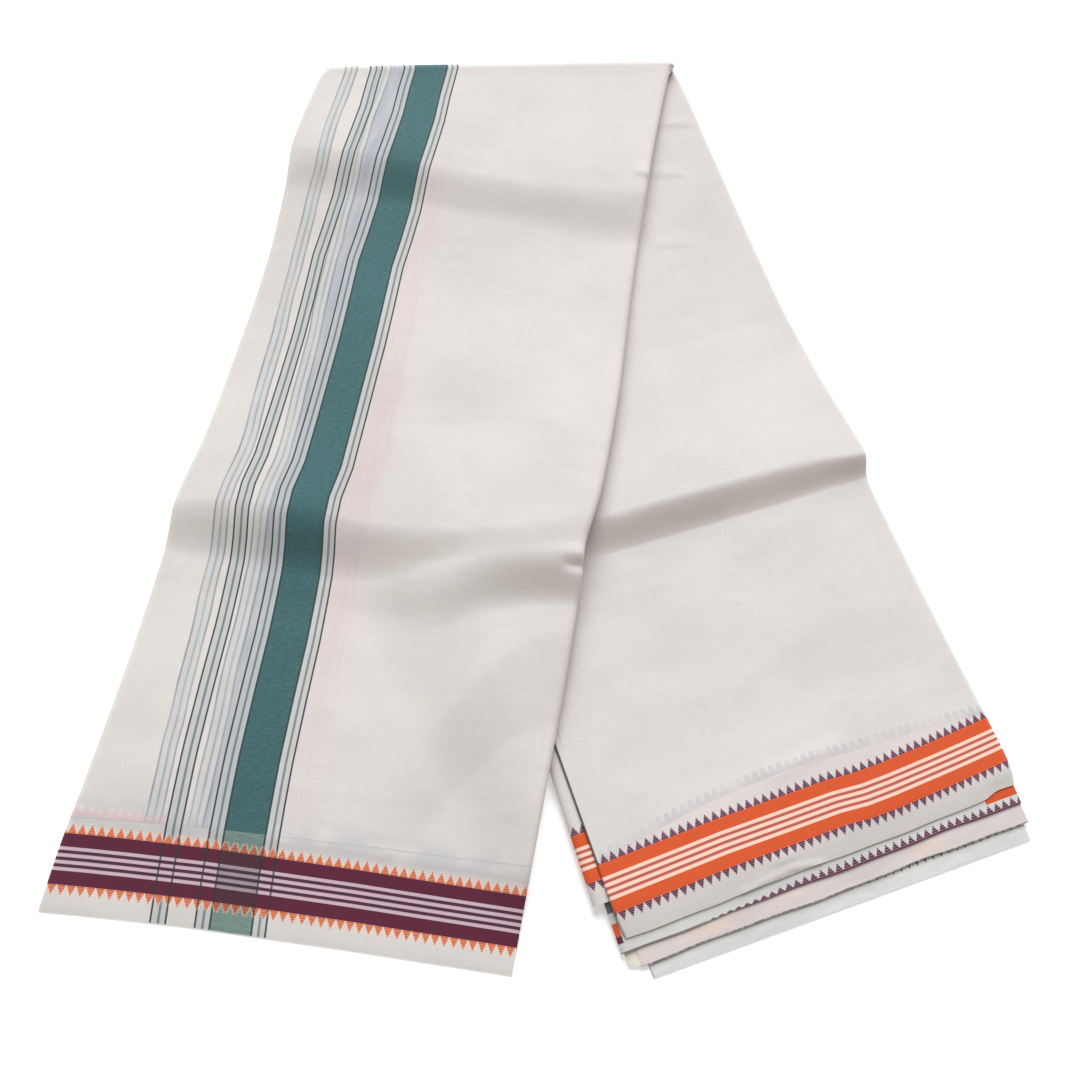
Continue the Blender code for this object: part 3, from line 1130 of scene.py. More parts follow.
@dataclass(frozen=True)
class CottonFinish:
    """Plain cotton cloth, and the base of the patterned finishes."""

    name: str
    ground: Colour
    roughness: float = 0.86
    roughness_play: Pair = (-0.06, 0.05)
    specular: float = 0.22
    sheen: float = 0.08
    sheen_roughness: float = 0.6
    pitch: float = 0.45
    wrinkles: float = 1.0
    bump: float = 0.35
    thread_depth: float = 0.06
    wrinkle_depth: float = 0.5
    heather: float = 0.25
    heather_light: Pair = (0.86, 1.1)
    tone_noise: Pair = (0.35, 0.68)
    warm_light: float = 0.972

    def material(self) -> bpy.types.Material:
        """The finish as a material, with the colour, roughness and relief of its weave.

        Returns:
            The material.
        """
        material = bpy.data.materials.new(self.name)
        material.use_nodes = True
        board = Board(material.node_tree)
        weave = board.read("weave")
        cloth = PlainWeave().place(board, weave=weave, pitch=self.pitch)
        warm = tuple(part * self.warm_light for part in self.ground)
        ground = board.blend(board.remap(cloth["Tone"], *self.tone_noise), self.ground, warm)
        colour = self.pattern(board, Place(*board.parts(weave)), ground)
        shaded = board.shaded(colour, board.remap(cloth["Threads"], *NOISE_RANGE, *self.heather_light))
        wrinkle = SoftWrinkles().place(board, weave=weave, amount=self.wrinkles)["Height"]
        relief = board.relief(cloth["Height"], self.bump, self.thread_depth * MM)
        soft = board.relief(wrinkle, 1.0, self.wrinkle_depth * MM)
        board.feed(soft.inputs["Normal"], relief.outputs[0])
        least, most = (self.roughness + play for play in self.roughness_play)
        values = {
            "Base Color": board.blend(self.heather, colour, shaded),
            "Roughness": board.remap(cloth["Threads"], *NOISE_RANGE, least, most),
            "Normal": soft.outputs[0],
            "Specular IOR Level": self.specular,
            "Sheen Weight": self.sheen,
            "Sheen Roughness": self.sheen_roughness,
        }
        for label, value in values.items():
            board.feed(material.node_tree.nodes["Principled BSDF"].inputs[label], value)
        return material

    def pattern(self, board: Board, place: Place, ground: Socket) -> Socket:
        """Lays the woven pattern over the ground, and gives the patterned colour."""
        return ground


@dataclass(frozen=True)
class FrontFinish(CottonFinish):
    """The face on the front leg: end stripes, the maroon border, the layers that show through, painted light and
    shade on the green band over the crests, and painted shade where the layers beneath end.
    """

    ghost_shift: float = 11.9
    ghost_wobble: float = 0.6
    ghost_strength: Pair = (0.6, 0.95)
    streak_stretch: float = 0.07
    streak_noise: Pair = (0.32, 0.66)
    pink_band: Pair = (57.0, 76.0)
    pink_soft: float = 13.0
    pink_shares: Pair = (0.2, 0.62)
    pink_lines: tuple[Pair, ...] = ((70.5, 0.5), (75.0, 0.56))
    pink_line_width: float = 1.2
    pink_starts: Pair = (90.0, 160.0)
    pink_fades: Pair = (440.0, 560.0)
    pink_least: float = 0.15
    # A grey band above the border where the layers beneath end: partly painted shade of the stack's fall, partly a
    # grey tint in patches.
    tint_and_shade: Pair = (44.0, 60.0)
    tint_and_shade_soft: float = 12.0
    tint_and_shade_noise: Pair = (0.36, 0.62)
    tint_and_shade_shares: Pair = (0.12, 0.5)
    rose_row: float = 49.0
    rose_depth: float = 5.0
    rose_share: float = 0.5
    rose_end: Pair = (-6.0, 6.0)
    layers_end: Pair = (-0.4, 0.4)
    end_line_width: float = 0.7
    end_line_share: float = 0.3
    dash_stretch: float = 0.22
    dash_noise: Pair = (0.34, 0.66)
    dash_light: Pair = (0.84, 1.14)
    crossed_share: float = 0.42
    crossing_lines: float = 0.85

    def pattern(self, board: Board, place: Place, ground: Socket) -> Socket:
        """Lays the layers that show through with the painted shade where they end, then the stripes with the painted
        light on the green, then the border over them.

        Args:
            board: the material's board.
            place: each spot's place in the weave.
            ground: the colour of the plain cloth.

        Returns:
            The patterned colour.
        """
        across, from_hem, _ = place
        # The under attribute's third part is painted light: the green band is painted lighter on the crests' tops and
        # darker on their falls.
        ghost, above_end, light = board.parts(board.read("under"))
        single = board.remap(above_end, *self.layers_end, 1.0, 0.0)
        base = self.layered(board, place, ground, ghost, board.minus(1.0, single))
        end_line = board.times(board.line(above_end, 0.0, self.end_line_width, soft=0.6), self.end_line_share)
        # Adds painted shade with a grey tint where the layers beneath end.
        base = self.tinted_and_shaded(board, place, board.blend(end_line, base, YARN.ghost_line))
        stretched = board.times(across, self.dash_stretch)
        dashes = board.speckle(stretched, from_hem, seed=13.0, scale=1.3, detail=3.0, roughness=0.6)
        dashed = board.remap(dashes, *self.dash_noise, *self.dash_light)
        green = board.blend(single, YARN.green, YARN.green_thin)
        stripes = EndStripes().place(
            board,
            across=across,
            ground=base,
            # The green band's painted highlight and painted shade over the crests.
            green=board.shaded(green, board.times(dashed, light)),
            dark=YARN.dark_line,
            middle=YARN.middle_line,
            pale=YARN.pale_line,
            grey=YARN.grey_line,
        )
        border = WovenBorder().place(
            board,
            across=across,
            from_hem=from_hem,
            ground=stripes["Color"],
            band=YARN.maroon,
            line=YARN.maroon_line,
            separator=YARN.maroon_gap,
            tooth=YARN.orange_tooth,
            glow=YARN.orange_glow,
        )
        crossed = board.times(stripes["Green"], border["Cover"], self.crossed_share)
        colour = board.blend(crossed, border["Color"], YARN.dark_line)
        return board.blend(board.times(stripes["Dark"], border["Cover"], self.crossing_lines), colour, YARN.dark_line)

    def layered(self, board: Board, place: Place, ground: Socket, ghost: Socket, covered: Socket) -> Socket:
        """The ground with the stripes and the pink band of the layers beneath.

        Args:
            board: the material's board.
            place: each spot's place in the weave.
            ground: the colour of the plain cloth.
            ghost: distance across the layer beneath.
            covered: where there are layers beneath.

        Returns:
            The ground's colour with what shows through.
        """
        across, from_hem, from_bend = place
        wobble = board.speckle(across, from_hem, seed=5.0, scale=0.02, detail=1.0)
        ghost = board.plus(ghost, board.remap(wobble, *NOISE_RANGE, -self.ghost_wobble, self.ghost_wobble))
        stretched = board.times(from_hem, self.streak_stretch)
        streaks = board.speckle(across, stretched, seed=8.0, scale=0.35, detail=3.0)
        beneath = GhostStripes().place(
            board,
            across=board.plus(ghost, self.ghost_shift),
            ground=ground,
            green=YARN.ghost_green,
            dark=YARN.ghost_line,
            middle=YARN.ghost_middle,
            pale=YARN.ghost_pale,
            grey=YARN.ghost_pale,
            strength=board.remap(streaks, *self.streak_noise, *self.ghost_strength),
        )
        base = board.blend(covered, ground, beneath["Color"])
        faded = board.remap(from_bend, *self.pink_fades, 1.0, self.pink_least)
        reach = board.times(board.remap(from_bend, *self.pink_starts), faded)
        shares = board.remap(streaks, *NOISE_RANGE, *self.pink_shares)
        pink = board.times(board.span(ghost, *self.pink_band, self.pink_soft), shares)
        for centre, share in self.pink_lines:
            line = board.line(ghost, centre, self.pink_line_width, self.pink_line_width)
            pink = board.math("MAXIMUM", pink, board.times(line, share))
        return board.blend(board.times(pink, reach, covered), base, YARN.pink_shadow)

    def tinted_and_shaded(self, board: Board, place: Place, base: Socket) -> Socket:
        """The colour with the row of rose teeth and a grey band just above the border, the band partly painted shade
        where the layers beneath end and partly a grey tint in patches.

        Args:
            board: the material's board.
            place: each spot's place in the weave.
            base: the colour underneath.

        Returns:
            The colour with both.
        """
        across, from_hem, _ = place
        patch = board.speckle(board.times(across, 0.5), from_hem, seed=21.0, scale=0.09, detail=3.0)
        shares = board.remap(patch, *self.tint_and_shade_noise, *self.tint_and_shade_shares)
        # Painted shade mixed with a grey tint, in patches, over the band where the layers beneath end.
        tint_and_shade = board.times(board.span(from_hem, *self.tint_and_shade, self.tint_and_shade_soft), shares)
        level = board.ratio(board.minus(from_hem, self.rose_row), self.rose_depth)
        row = TempleTeeth().place(board, across=across, level=level, fullness=1.0)
        rose = board.times(row["Halo"], board.remap(across, *self.rose_end, self.rose_share, 0.0))
        return board.blend(rose, board.blend(tint_and_shade, base, YARN.grey_shadow), YARN.rose_shadow)


@dataclass(frozen=True)
class BackFinish(CottonFinish):
    """The reverse on the back leg: the orange border, its ghost above it, and the dark edge line."""

    ghost_share: float = 0.55
    ghost_start: float = 50.5
    ghost_depth: float = 6.0
    ghost_bow: float = 9.5
    bow_reach: float = 115.0
    smear_noise: Pair = (0.38, 0.6)
    smear_shares: Pair = (0.4, 0.95)
    pink_reach: Pair = (-7.0, 1.0)
    pink_soft: float = 5.0
    pink_share: float = 0.28
    edge_line: Pair = (0.4, 1.0)
    edge_share: float = 0.9
    edge_share_at_border: float = 0.35
    edge_fades: Pair = (560.0, 570.0)
    second_line: Pair = (4.4, 0.8)
    second_share: float = 0.75
    second_fades: Pair = (470.0, 505.0)

    def pattern(self, board: Board, place: Place, ground: Socket) -> Socket:
        """Lays the ghost of the border underneath, then the border, then the lines at the left edge.

        Args:
            board: the material's board.
            place: each spot's place in the weave.
            ground: the colour of the plain cloth.

        Returns:
            The patterned colour.
        """
        border = WovenBorder().place(
            board,
            across=place.across,
            from_hem=place.from_hem,
            ground=self.ghosted(board, place, ground),
            band_start=12.0,
            lines_start=19.0,
            lines_end=31.5,
            band_end=38.4,
            teeth=4.5,
            pitch=BACK_PITCH,
            line_share=0.55,
            band=YARN.orange,
            line=YARN.orange_line,
            separator=YARN.orange_gap,
            tooth=YARN.maroon_tooth,
            glow=YARN.maroon_glow,
            glow_share=0.55,
        )
        inset, from_bend, _ = board.parts(board.read("under"))
        at_border = self.edge_share_at_border * self.edge_share
        fade = board.remap(from_bend, *self.edge_fades, self.edge_share, at_border)
        edge = board.times(board.line(inset, *self.edge_line), fade)
        fade = board.remap(from_bend, *self.second_fades, self.second_share, 0.0)
        second = board.times(board.line(inset, *self.second_line, soft=0.4), fade)
        return board.blend(second, board.blend(edge, border["Color"], YARN.dark_line), YARN.dark_line)

    def ghosted(self, board: Board, place: Place, ground: Socket) -> Socket:
        """The ground with the blurred border of the layer beneath.

        Args:
            board: the material's board.
            place: each spot's place in the weave.
            ground: the colour of the plain cloth.

        Returns:
            The ground's colour with the ghost.
        """
        across, from_hem, _ = place
        patch = board.speckle(across, from_hem, seed=2.0, scale=0.05)
        bow = board.times(board.math("POWER", board.ratio(across, self.bow_reach), 2.0), self.ghost_bow)
        bowed = board.plus(from_hem, bow)
        level = board.ratio(board.minus(bowed, self.ghost_start), self.ghost_depth)
        row = TempleTeeth().place(board, across=across, level=level, pitch=BACK_PITCH, fullness=1.1)
        shares = board.remap(patch, *self.smear_noise, *self.smear_shares)
        smear = board.times(row["Halo"], shares, self.ghost_share)
        pink = board.span(bowed, *(self.ghost_start + reach for reach in self.pink_reach), self.pink_soft)
        base = board.blend(board.times(pink, self.pink_share), ground, YARN.pink_shadow)
        return board.blend(smear, base, YARN.grey_shadow)


class Patch(NamedTuple):
    """A strip of colour at one end of a layer: its distances from the hem, their softness, and its share."""

    start: float
    end: float
    soft: float
    colour: Colour
    share: float


@dataclass(frozen=True)
class TurnedRowFinish(CottonFinish):
    """A layer turned under at its border, with a row of maroon teeth that grows along the fold."""

    grow_from: float = -84.0
    grow_to: float = 0.0
    least_tooth: float = 0.9
    tooth_height: float = 4.9
    row_shift: float = 0.1
    start_soft: float = 6.0
    edge: Pair = (-1.0, 0.7)
    edge_share: float = 0.75
    corner: Pair = (95.0, 130.0)
    corner_rise: Pair = (5.6, 14.0)
    left_end: Pair = (-130.6, -129.8)
    left_patches: tuple[Patch, ...] = (
        Patch(8.5, 15.5, 0.5, YARN.orange, 1.0),
        Patch(5.0, 8.6, 0.6, YARN.maroon_tooth, 1.0),
        Patch(21.0, 60.0, 1.0, YARN.dark_line, 0.85),
    )

    def pattern(self, board: Board, place: Place, ground: Socket) -> Socket:
        """Lays the teeth, the edge line where they haven't grown, and the border's orange at both ends.

        Args:
            board: the material's board.
            place: each spot's place in the weave.
            ground: the colour of the plain cloth.

        Returns:
            The patterned colour.
        """
        across, from_hem, _ = place
        height = board.remap(across, self.grow_from, self.grow_to, self.least_tooth, self.tooth_height)
        level = board.ratio(board.plus(from_hem, self.row_shift), height)
        row = TempleTeeth().place(board, across=across, level=level, pitch=BACK_PITCH, fullness=1.15)
        started = board.remap(across, self.grow_from - self.start_soft, self.grow_from + self.start_soft)
        colour = board.blend(board.times(row["Teeth"], started), ground, YARN.maroon_tooth)
        edge = board.times(board.span(from_hem, *self.edge, soft=0.3), board.minus(1.0, started), self.edge_share)
        colour = board.blend(edge, colour, YARN.maroon_gap)
        rise = board.span(from_hem, *self.corner_rise, soft=0.4)
        corner = board.times(rise, board.span(across, *self.corner, soft=1.0))
        colour = board.blend(corner, colour, YARN.orange)
        left = board.remap(across, *self.left_end, 1.0, 0.0)
        for start, end, soft, yarn, share in self.left_patches:
            colour = board.blend(board.times(board.span(from_hem, start, end, soft), left, share), colour, yarn)
        return colour


@dataclass(frozen=True)
class ThirdLayerFinish(CottonFinish):
    """The pinkish layer under the turned one, with a thin dark line at its edge."""

    warm: Pair = (3.0, 8.0)
    warm_noise: Pair = (0.45, 0.65)
    warm_share: float = 0.4
    edge: Pair = (-1.0, 0.6)
    dash_noise: Pair = (0.4, 0.55)
    dash_shares: Pair = (0.35, 0.8)

    def pattern(self, board: Board, place: Place, ground: Socket) -> Socket:
        """Lays the orange warmth in patches and the thin line at the hem.

        Args:
            board: the material's board.
            place: each spot's place in the weave.
            ground: the colour of the plain cloth.

        Returns:
            The patterned colour.
        """
        across, from_hem, _ = place
        patch = board.speckle(across, from_hem, seed=4.0, scale=0.03)
        shares = board.remap(patch, *self.warm_noise, 0.0, self.warm_share)
        warm = board.times(board.span(from_hem, *self.warm, soft=3.0), shares)
        dashes = board.speckle(across, 0.0, seed=9.0, scale=0.5, detail=1.0)
        shares = board.remap(dashes, *self.dash_noise, *self.dash_shares)
        edge = board.times(board.span(from_hem, *self.edge, soft=0.3), shares)
        return board.blend(edge, board.blend(warm, ground, YARN.orange_glow), YARN.slate_tooth)


@dataclass(frozen=True)
class LowestFinish(CottonFinish):
    """The lowest layers, with small slate teeth that peek out below the layer over them."""

    teeth_from_hem: float = 9.2
    starts: Pair = (-90.0, -74.0)
    grows: Pair = (-80.0, 50.0)
    least_tooth: float = 1.4
    tooth_height: float = 4.4

    def pattern(self, board: Board, place: Place, ground: Socket) -> Socket:
        """Lays the small teeth, tips towards the hem, growing to the right.

        Args:
            board: the material's board.
            place: each spot's place in the weave.
            ground: the colour of the plain cloth.

        Returns:
            The patterned colour.
        """
        across, from_hem, _ = place
        height = board.remap(across, *self.grows, self.least_tooth, self.tooth_height)
        level = board.ratio(board.minus(self.teeth_from_hem, from_hem), height)
        row = TempleTeeth().place(board, across=across, level=level, pitch=BACK_PITCH, fullness=0.8)
        shown = board.times(row["Teeth"], board.remap(across, *self.starts))
        return board.blend(shown, ground, YARN.slate_tooth)


# Pieces

SHEET_SHARP = 50.0
LAYERS_SHARP = 60.0


@dataclass
class ClothPiece:
    """A piece of the cloth that is shown, and the CAD nodes that it stands for."""

    name: str
    nodes: tuple[str, ...]
    slot: Slot
    finish: CottonFinish
    flat: Pair

    def mesh(self) -> bpy.types.Object:
        """Builds the piece's mesh."""
        raise NotImplementedError

    def sheet(self, points: Array, weave: Array, under: Array) -> bpy.types.Object:
        """A closed thin sheet from its outer face's points and their places in and under the weave."""
        grid = Grid(points, weave, under)
        return closed_mesh(self.name, grid, grid.offset(STRIP.thickness * MM), SHEET_SHARP)

    def make(self) -> None:
        piece = self.mesh()
        piece.data.materials.append(self.finish.material())
        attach(piece, BODY)
        if self.nodes:
            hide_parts(*self.nodes)
        log.info("%s: %d faces", self.name, len(piece.data.polygons))


class StripePlace(NamedTuple):
    """Where the outermost dark stripe crosses a line across the front leg."""

    along: float
    out: float
    ghost: float


class Drift(NamedTuple):
    """How far the weave or a hem strays along the leg, at one place across it."""

    out: float
    along: float


FRONT_HEM_DRIFT = records(
    Drift,
    (-126, -0.2), (-110, -0.9), (-90, -1.5), (-50, -2.3), (-10, -2),
    (30, -1.7), (70, -0.9), (110, -0.2), (122, 0.2),
)
BACK_BORDER_DRIFT = records(
    Drift,
    (-131, -1.5), (-100, -2.1), (-60, -3), (-20, -2.6), (10, -2.4),
    (28, -0.9), (45, -1), (75, -2.2), (95, -3.2), (118, -4.6),
)


class GreenPaintedLight(NamedTuple):
    """The painted light on the green band at one place down the leg: above 1 a painted highlight on a crest's top,
    below 1 a painted shade on its fall.
    """

    along: float
    light: float


# Painted highlight on the crests' tops and painted shade on their falls, for the green band.
GREEN_PAINTED_LIGHT = records(
    GreenPaintedLight,
    (-20, 1.10), (106, 1.14), (126, 1), (148, 1), (162, 1.12),
    (340, 1.08), (374, 1.14), (388, 0.96), (406, 0.86), (426, 0.97),
    (480, 0.98), (560, 0.94), (640, 0.94),
)


def drifted(drift: tuple[Drift, ...], out: Array) -> Array:
    """The drift at each distance across the leg."""
    table = np.array(drift)
    return np.interp(out, table[:, 0], table[:, 1])


STRIPE_PLACES = records(
    StripePlace,
    (-20, -85, -90.5), (56, -85.1, -90.4), (81, -84.2, -90.8), (104, -84.8, -91),
    (124, -85.6, -90.6), (142, -85.4, -89.6), (160, -84.9, -89.4), (184, -85.6, -89.4),
    (207, -86.7, -89), (245, -85.2, -87), (270, -84.5, -85.8), (340, -84.8, -83.4),
    (358, -84.8, -83.6), (378, -87.2, -85.8), (394, -86.6, -86), (411, -84, -84.6),
    (425, -82.4, -83), (440, -81.4, -82), (465, -79.9, -80.6), (500, -79, -79.2),
    (535, -77.8, -77.3), (560, -76.3, -75.6), (585, -74.6, -74.6), (609, -72.4, -72.4),
    (632, -69.8, -70),
)


@dataclass
class FrontSheet(ClothPiece):
    """The cloth that shows on the front leg, from under the bend to its hem on the floor."""

    row_spacing: float = 2.4
    column_spacing: float = 2.4
    fall_share: float = 0.55
    least_fall: float = 0.02
    layers_end_left: float = 583.0
    layers_end_right: float = 566.0
    border_depth: float = 42.0
    hem_reach: float = 50.0
    bend_steps: int = 13
    under_rise: float = 3.6

    def mesh(self) -> bpy.types.Object:
        """The bend's rows and the leg's rows, joined into one closed thin sheet.

        Returns:
            The piece's object.
        """
        bend_row = FRONT.bend_section(STRIP.bend_radius, STRIP.front_stack)
        rows = dense((bend_row, *FRONT_SECTIONS), self.row_spacing)
        spots, left_fall, right_fall = sheet_spots(FRONT, rows, self.column_spacing)
        fall = np.maximum(self.fall_share * (rows[:, 4:5] - STRIP.solid_wall), self.least_fall)
        edge_fall = left_fall + right_fall
        top = spots.heights()[1] - fall * edge_fall
        turned = self.bend_points(spots, top[0], self.under_rise * edge_fall)
        hem = lerp(FRONT_SECTIONS[-1].left_along, FRONT_SECTIONS[-1].right_along, spots.share)
        near = smoothstep(1.0 - (hem - spots.along - self.border_depth) / self.hem_reach)
        points = placed(FRONT, spots.along + drifted(FRONT_HEM_DRIFT, spots.out) * near, spots.out, top)
        weave, under = self.places(spots.along, spots.out, hem, spots.share)
        steps = len(turned)
        arc = np.linspace(1.0, 0.0, steps, endpoint=False)[:, None, None] * math.pi * STRIP.bend_radius
        lead = np.repeat(weave[:1], steps, axis=0) + arc * np.array([0.0, 1.0, -1.0])
        return self.sheet(
            np.concatenate([turned, points]),
            np.concatenate([lead, weave]),
            np.concatenate([np.repeat(under[:1], steps, axis=0), under]),
        )

    def bend_points(self, spots: Spots, high: Array, low: Array) -> Array:
        """The rows that turn over the bend, whose ends are drawn in a little.

        Args:
            spots: the leg's spots, whose first row lies at the end of the bend.
            high: height of the sheet's outer face over the layers at each column.
            low: its height under them.

        Returns:
            The rows from under the bend up to the leg's first row.
        """
        radius, middle = (high - low) / 2, (high + low) / 2
        inward = STRIP.bend_line[1]
        centre = FRONT.plan(spots.along[0], spots.out[0])
        angles = np.radians(np.linspace(180.0, 0.0, self.bend_steps)[:-1])
        turns = [(math.pi, flap) for flap in np.linspace(STRIP.bend_flap, 0.0, 4)[:-1]]
        turns += [(angle, 0.0) for angle in angles]
        rows = []
        for angle, flap in turns:
            plan = centre + np.multiply.outer(flap - radius * math.sin(angle), inward)
            height = middle + radius * math.cos(angle)
            rows.append(np.column_stack([plan * MM + ORIGIN, height * MM]))
        return np.array(rows)

    def places(self, along: Array, out: Array, hem: Array, share: Array) -> tuple[Array, Array]:
        """Each spot's place in the weave, its place in the layers underneath, and the painted light on the green band
        there.

        Args:
            along: distances down the leg.
            out: distances across it.
            hem: how far down the leg the hem lies.
            share: share of the way across.

        Returns:
            The places in the weave, and those in the layers underneath with the painted light of the green band.
        """
        table = np.array(STRIPE_PLACES)
        across = out - np.interp(along, table[:, 0], table[:, 1])
        ghost = out - np.interp(along, table[:, 0], table[:, 2])
        end = lerp(self.layers_end_left, self.layers_end_right, share)
        # Painted light and shade of the green band over the crests.
        painted_light = np.array(GREEN_PAINTED_LIGHT)
        light = np.interp(along, painted_light[:, 0], painted_light[:, 1])
        return np.dstack([across, hem - along, along]), np.dstack([ghost, end - along, light])


@dataclass
class BackSheet(ClothPiece):
    """The reverse of the cloth, which shows on the back leg."""

    row_spacing: float = 2.4
    column_spacing: float = 2.4
    bend_inset: float = 1.7
    flat_fall: float = 0.3
    edge_fall: float = 2.2
    turned_up_from: float = 94.0
    turned_up_to: float = 106.0
    turned_up: float = 2.6
    lift_reach: float = 12.0
    waves: tuple[tuple[float, float, float], ...] = ((0.35, 21.0, 0.0), (0.15, 6.1, 1.0))
    hem_droop: float = 0.65
    droop_reach: float = 14.0

    def mesh(self) -> bpy.types.Object:
        """The leg's rows as one closed thin sheet, with its right corner turned up a little.

        Returns:
            The piece's object.
        """
        sections = (BACK.bend_section(self.bend_inset, STRIP.back_stack), *BACK_SECTIONS)
        rows = dense(sections, self.row_spacing)
        spots, left_fall, right_fall = sheet_spots(BACK, rows, self.column_spacing)
        spare = rows[:, 4:5] - rows[-1, 4]
        right_depth = np.minimum(self.flat_fall + spare, self.edge_fall)
        top = spots.heights()[1] - self.flat_fall * left_fall - right_depth * right_fall
        hem = lerp(BACK_SECTIONS[-1].left_along, BACK_SECTIONS[-1].right_along, spots.share)
        from_hem = hem - spots.along
        lift = smoothstep((spots.out - self.turned_up_from) / (self.turned_up_to - self.turned_up_from))
        near = smoothstep(1.0 - from_hem / self.lift_reach)
        along = spots.along - self.turned_up * lift * near
        wave = sum(size * np.sin(spots.out / length + phase) * near for size, length, phase in self.waves)
        droop = self.hem_droop * smoothstep(1.0 - from_hem / self.droop_reach)
        points = placed(BACK, along + wave, spots.out, top - droop)
        weave = np.dstack([spots.out, from_hem + drifted(BACK_BORDER_DRIFT, spots.out), spots.along])
        return self.sheet(points, weave, np.dstack([spots.out - rows[:, 1:2], spots.along, spots.out]))


@dataclass
class BackLayer(ClothPiece):
    """A layer that steps out at the back leg's hem or left edge."""

    start: float = 432.0
    end: float = 614.5
    end_skew: float = 0.0
    left: float = -133.4
    flare: float = 0.0
    right: float = 116.0
    top: float = 5.2
    end_sag: float = 1.2
    left_fall: float = 1.6
    right_fall: float = 0.3
    sag_start: float = 560.0
    sag_end: float = 632.0
    hem_droop: float = 0.5
    droop_reach: float = 9.0
    wave: float = 0.4
    wave_phase: float = 0.0
    wave_reach: float = 14.0
    wave_lengths: Pair = (19.0, 7.3)
    row_spacing: float = 3.0
    column_spacing: float = 2.6

    def mesh(self) -> bpy.types.Object:
        """The layer as one closed thin sheet, with a slightly uneven hem.

        Returns:
            The piece's object.
        """
        steps = math.ceil((self.end - self.start) / self.row_spacing)
        share = np.linspace(0.0, 1.0, steps + 1)
        along = lerp(self.start, self.end, share)
        skew = self.end_skew * share
        height = self.top - self.end_sag * smoothstep((along - self.sag_start) / (self.sag_end - self.sag_start))
        full = np.ones(len(along))
        left = self.left - self.flare * share
        rows = np.stack([along - skew, left, along + skew, full * self.right, height], axis=1)
        spots, left_fall, right_fall = sheet_spots(BACK, rows, self.column_spacing, creased=False)
        top = spots.heights()[1] - self.left_fall * left_fall - self.right_fall * right_fall
        from_hem = lerp(self.end - self.end_skew, self.end + self.end_skew, spots.share) - spots.along
        near = smoothstep(1.0 - from_hem / self.wave_reach)
        long, short = self.wave_lengths
        wobble = np.sin(spots.out / long + self.wave_phase) + 0.5 * np.sin(spots.out / short + 2 * self.wave_phase)
        droop = self.hem_droop * smoothstep(1.0 - from_hem / self.droop_reach)
        points = placed(BACK, spots.along + self.wave * wobble * near, spots.out, top - droop)
        weave = np.dstack([spots.out, from_hem, spots.along])
        return self.sheet(points, weave, np.dstack([spots.out - self.left, spots.along, spots.out]))


class Fold(NamedTuple):
    """One fold edge in the side of the layers: its height as a share, how far in it lies, and its sway."""

    low: float
    high: float
    inset: float
    sway: float
    wavelength: float


FULL_FOLDS = records(
    Fold,
    (0.00, 0.12, 1.5, 0.5, 61),
    (0.12, 0.27, 0.6, 0.3, 83),
    (0.27, 0.39, 1.1, 0.5, 47),
    (0.39, 0.54, 0.7, 0.3, 71),
    (0.54, 0.68, 1.6, 0.2, 53),
    (0.68, 0.82, 2.4, 0.1, 67),
    (0.82, 1.00, 3.6, 0, 60),
)
LOW_FOLDS = records(
    Fold,
    (0.00, 0.34, 1, 0.5, 43),
    (0.34, 0.66, 0.4, 0.4, 59),
    (0.66, 1.00, 0.9, 0.3, 37),
)


@dataclass
class FoldedLayers(ClothPiece):
    """The hidden folded layers of a leg, as one body with rounded fold edges at its sides."""

    leg: Leg = FRONT
    folds: tuple[Fold, ...] = FULL_FOLDS
    creased: bool = True
    row_spacing: float = 5.0
    column_spacing: float = 6.0
    cover: float = 1.3
    left_phase: float = 0.0
    right_phase: float = 2.0
    arc_points: int = 5
    arc_end: float = 78.0
    arc_depth: float = 0.5

    def rows(self) -> tuple[Array, Array, Array]:
        """The body's sections, and the height left free under and over each."""
        raise NotImplementedError

    def mesh(self) -> bpy.types.Object:
        """The body between its folded upper side and its flat underside.

        Returns:
            The piece's object.
        """
        rows, low, high = self.rows()
        width = rows[:, 3:4] - rows[:, 1:2]
        left_inset, level = self.side(rows[:, 0], self.left_phase)
        right_inset, _ = self.side(rows[:, 2], self.right_phase)
        edge = STRIP.edge_round / width
        flat = math.ceil(float(width.max()) / self.column_spacing)
        middle = lerp(edge, 1.0 - edge, (np.arange(flat + 1) / flat)[None, :])
        share = np.hstack([left_inset / width, middle, 1.0 - right_inset[:, ::-1] / width])
        levels = np.concatenate([level, np.ones(flat + 1), level[::-1]])
        spots = Spots(self.leg, rows, share, self.creased)
        under, top = spots.heights()
        height = lerp(under + low[:, None], top - high[:, None], levels[None, :])
        points = placed(self.leg, spots.along, spots.out, height)
        base = placed(self.leg, spots.along, spots.out, under + low[:, None])
        weave = np.dstack([spots.out + height, rows[-1, 0] - spots.along, spots.along])
        return closed_mesh(self.name, Grid(points, weave, weave), base, LAYERS_SHARP)

    def side(self, along: Array, phase: float) -> tuple[Array, Array]:
        """The fold edges in one side.

        Args:
            along: distance of each section down the leg.
            phase: where the folds' sway starts.

        Returns:
            The insets, a row for each section, and the levels from bottom to top.
        """
        insets, levels = [], []
        angles = np.radians(np.linspace(-self.arc_end, self.arc_end, self.arc_points))
        for fold in self.folds:
            drift = fold.inset + fold.sway * np.sin(along / fold.wavelength + phase)
            for angle in angles:
                insets.append(drift + self.arc_depth * (1.0 - math.cos(angle)))
                levels.append(lerp(fold.low, fold.high, 0.5 + 0.5 * math.sin(angle)))
        return np.stack(insets, axis=1), np.array(levels)


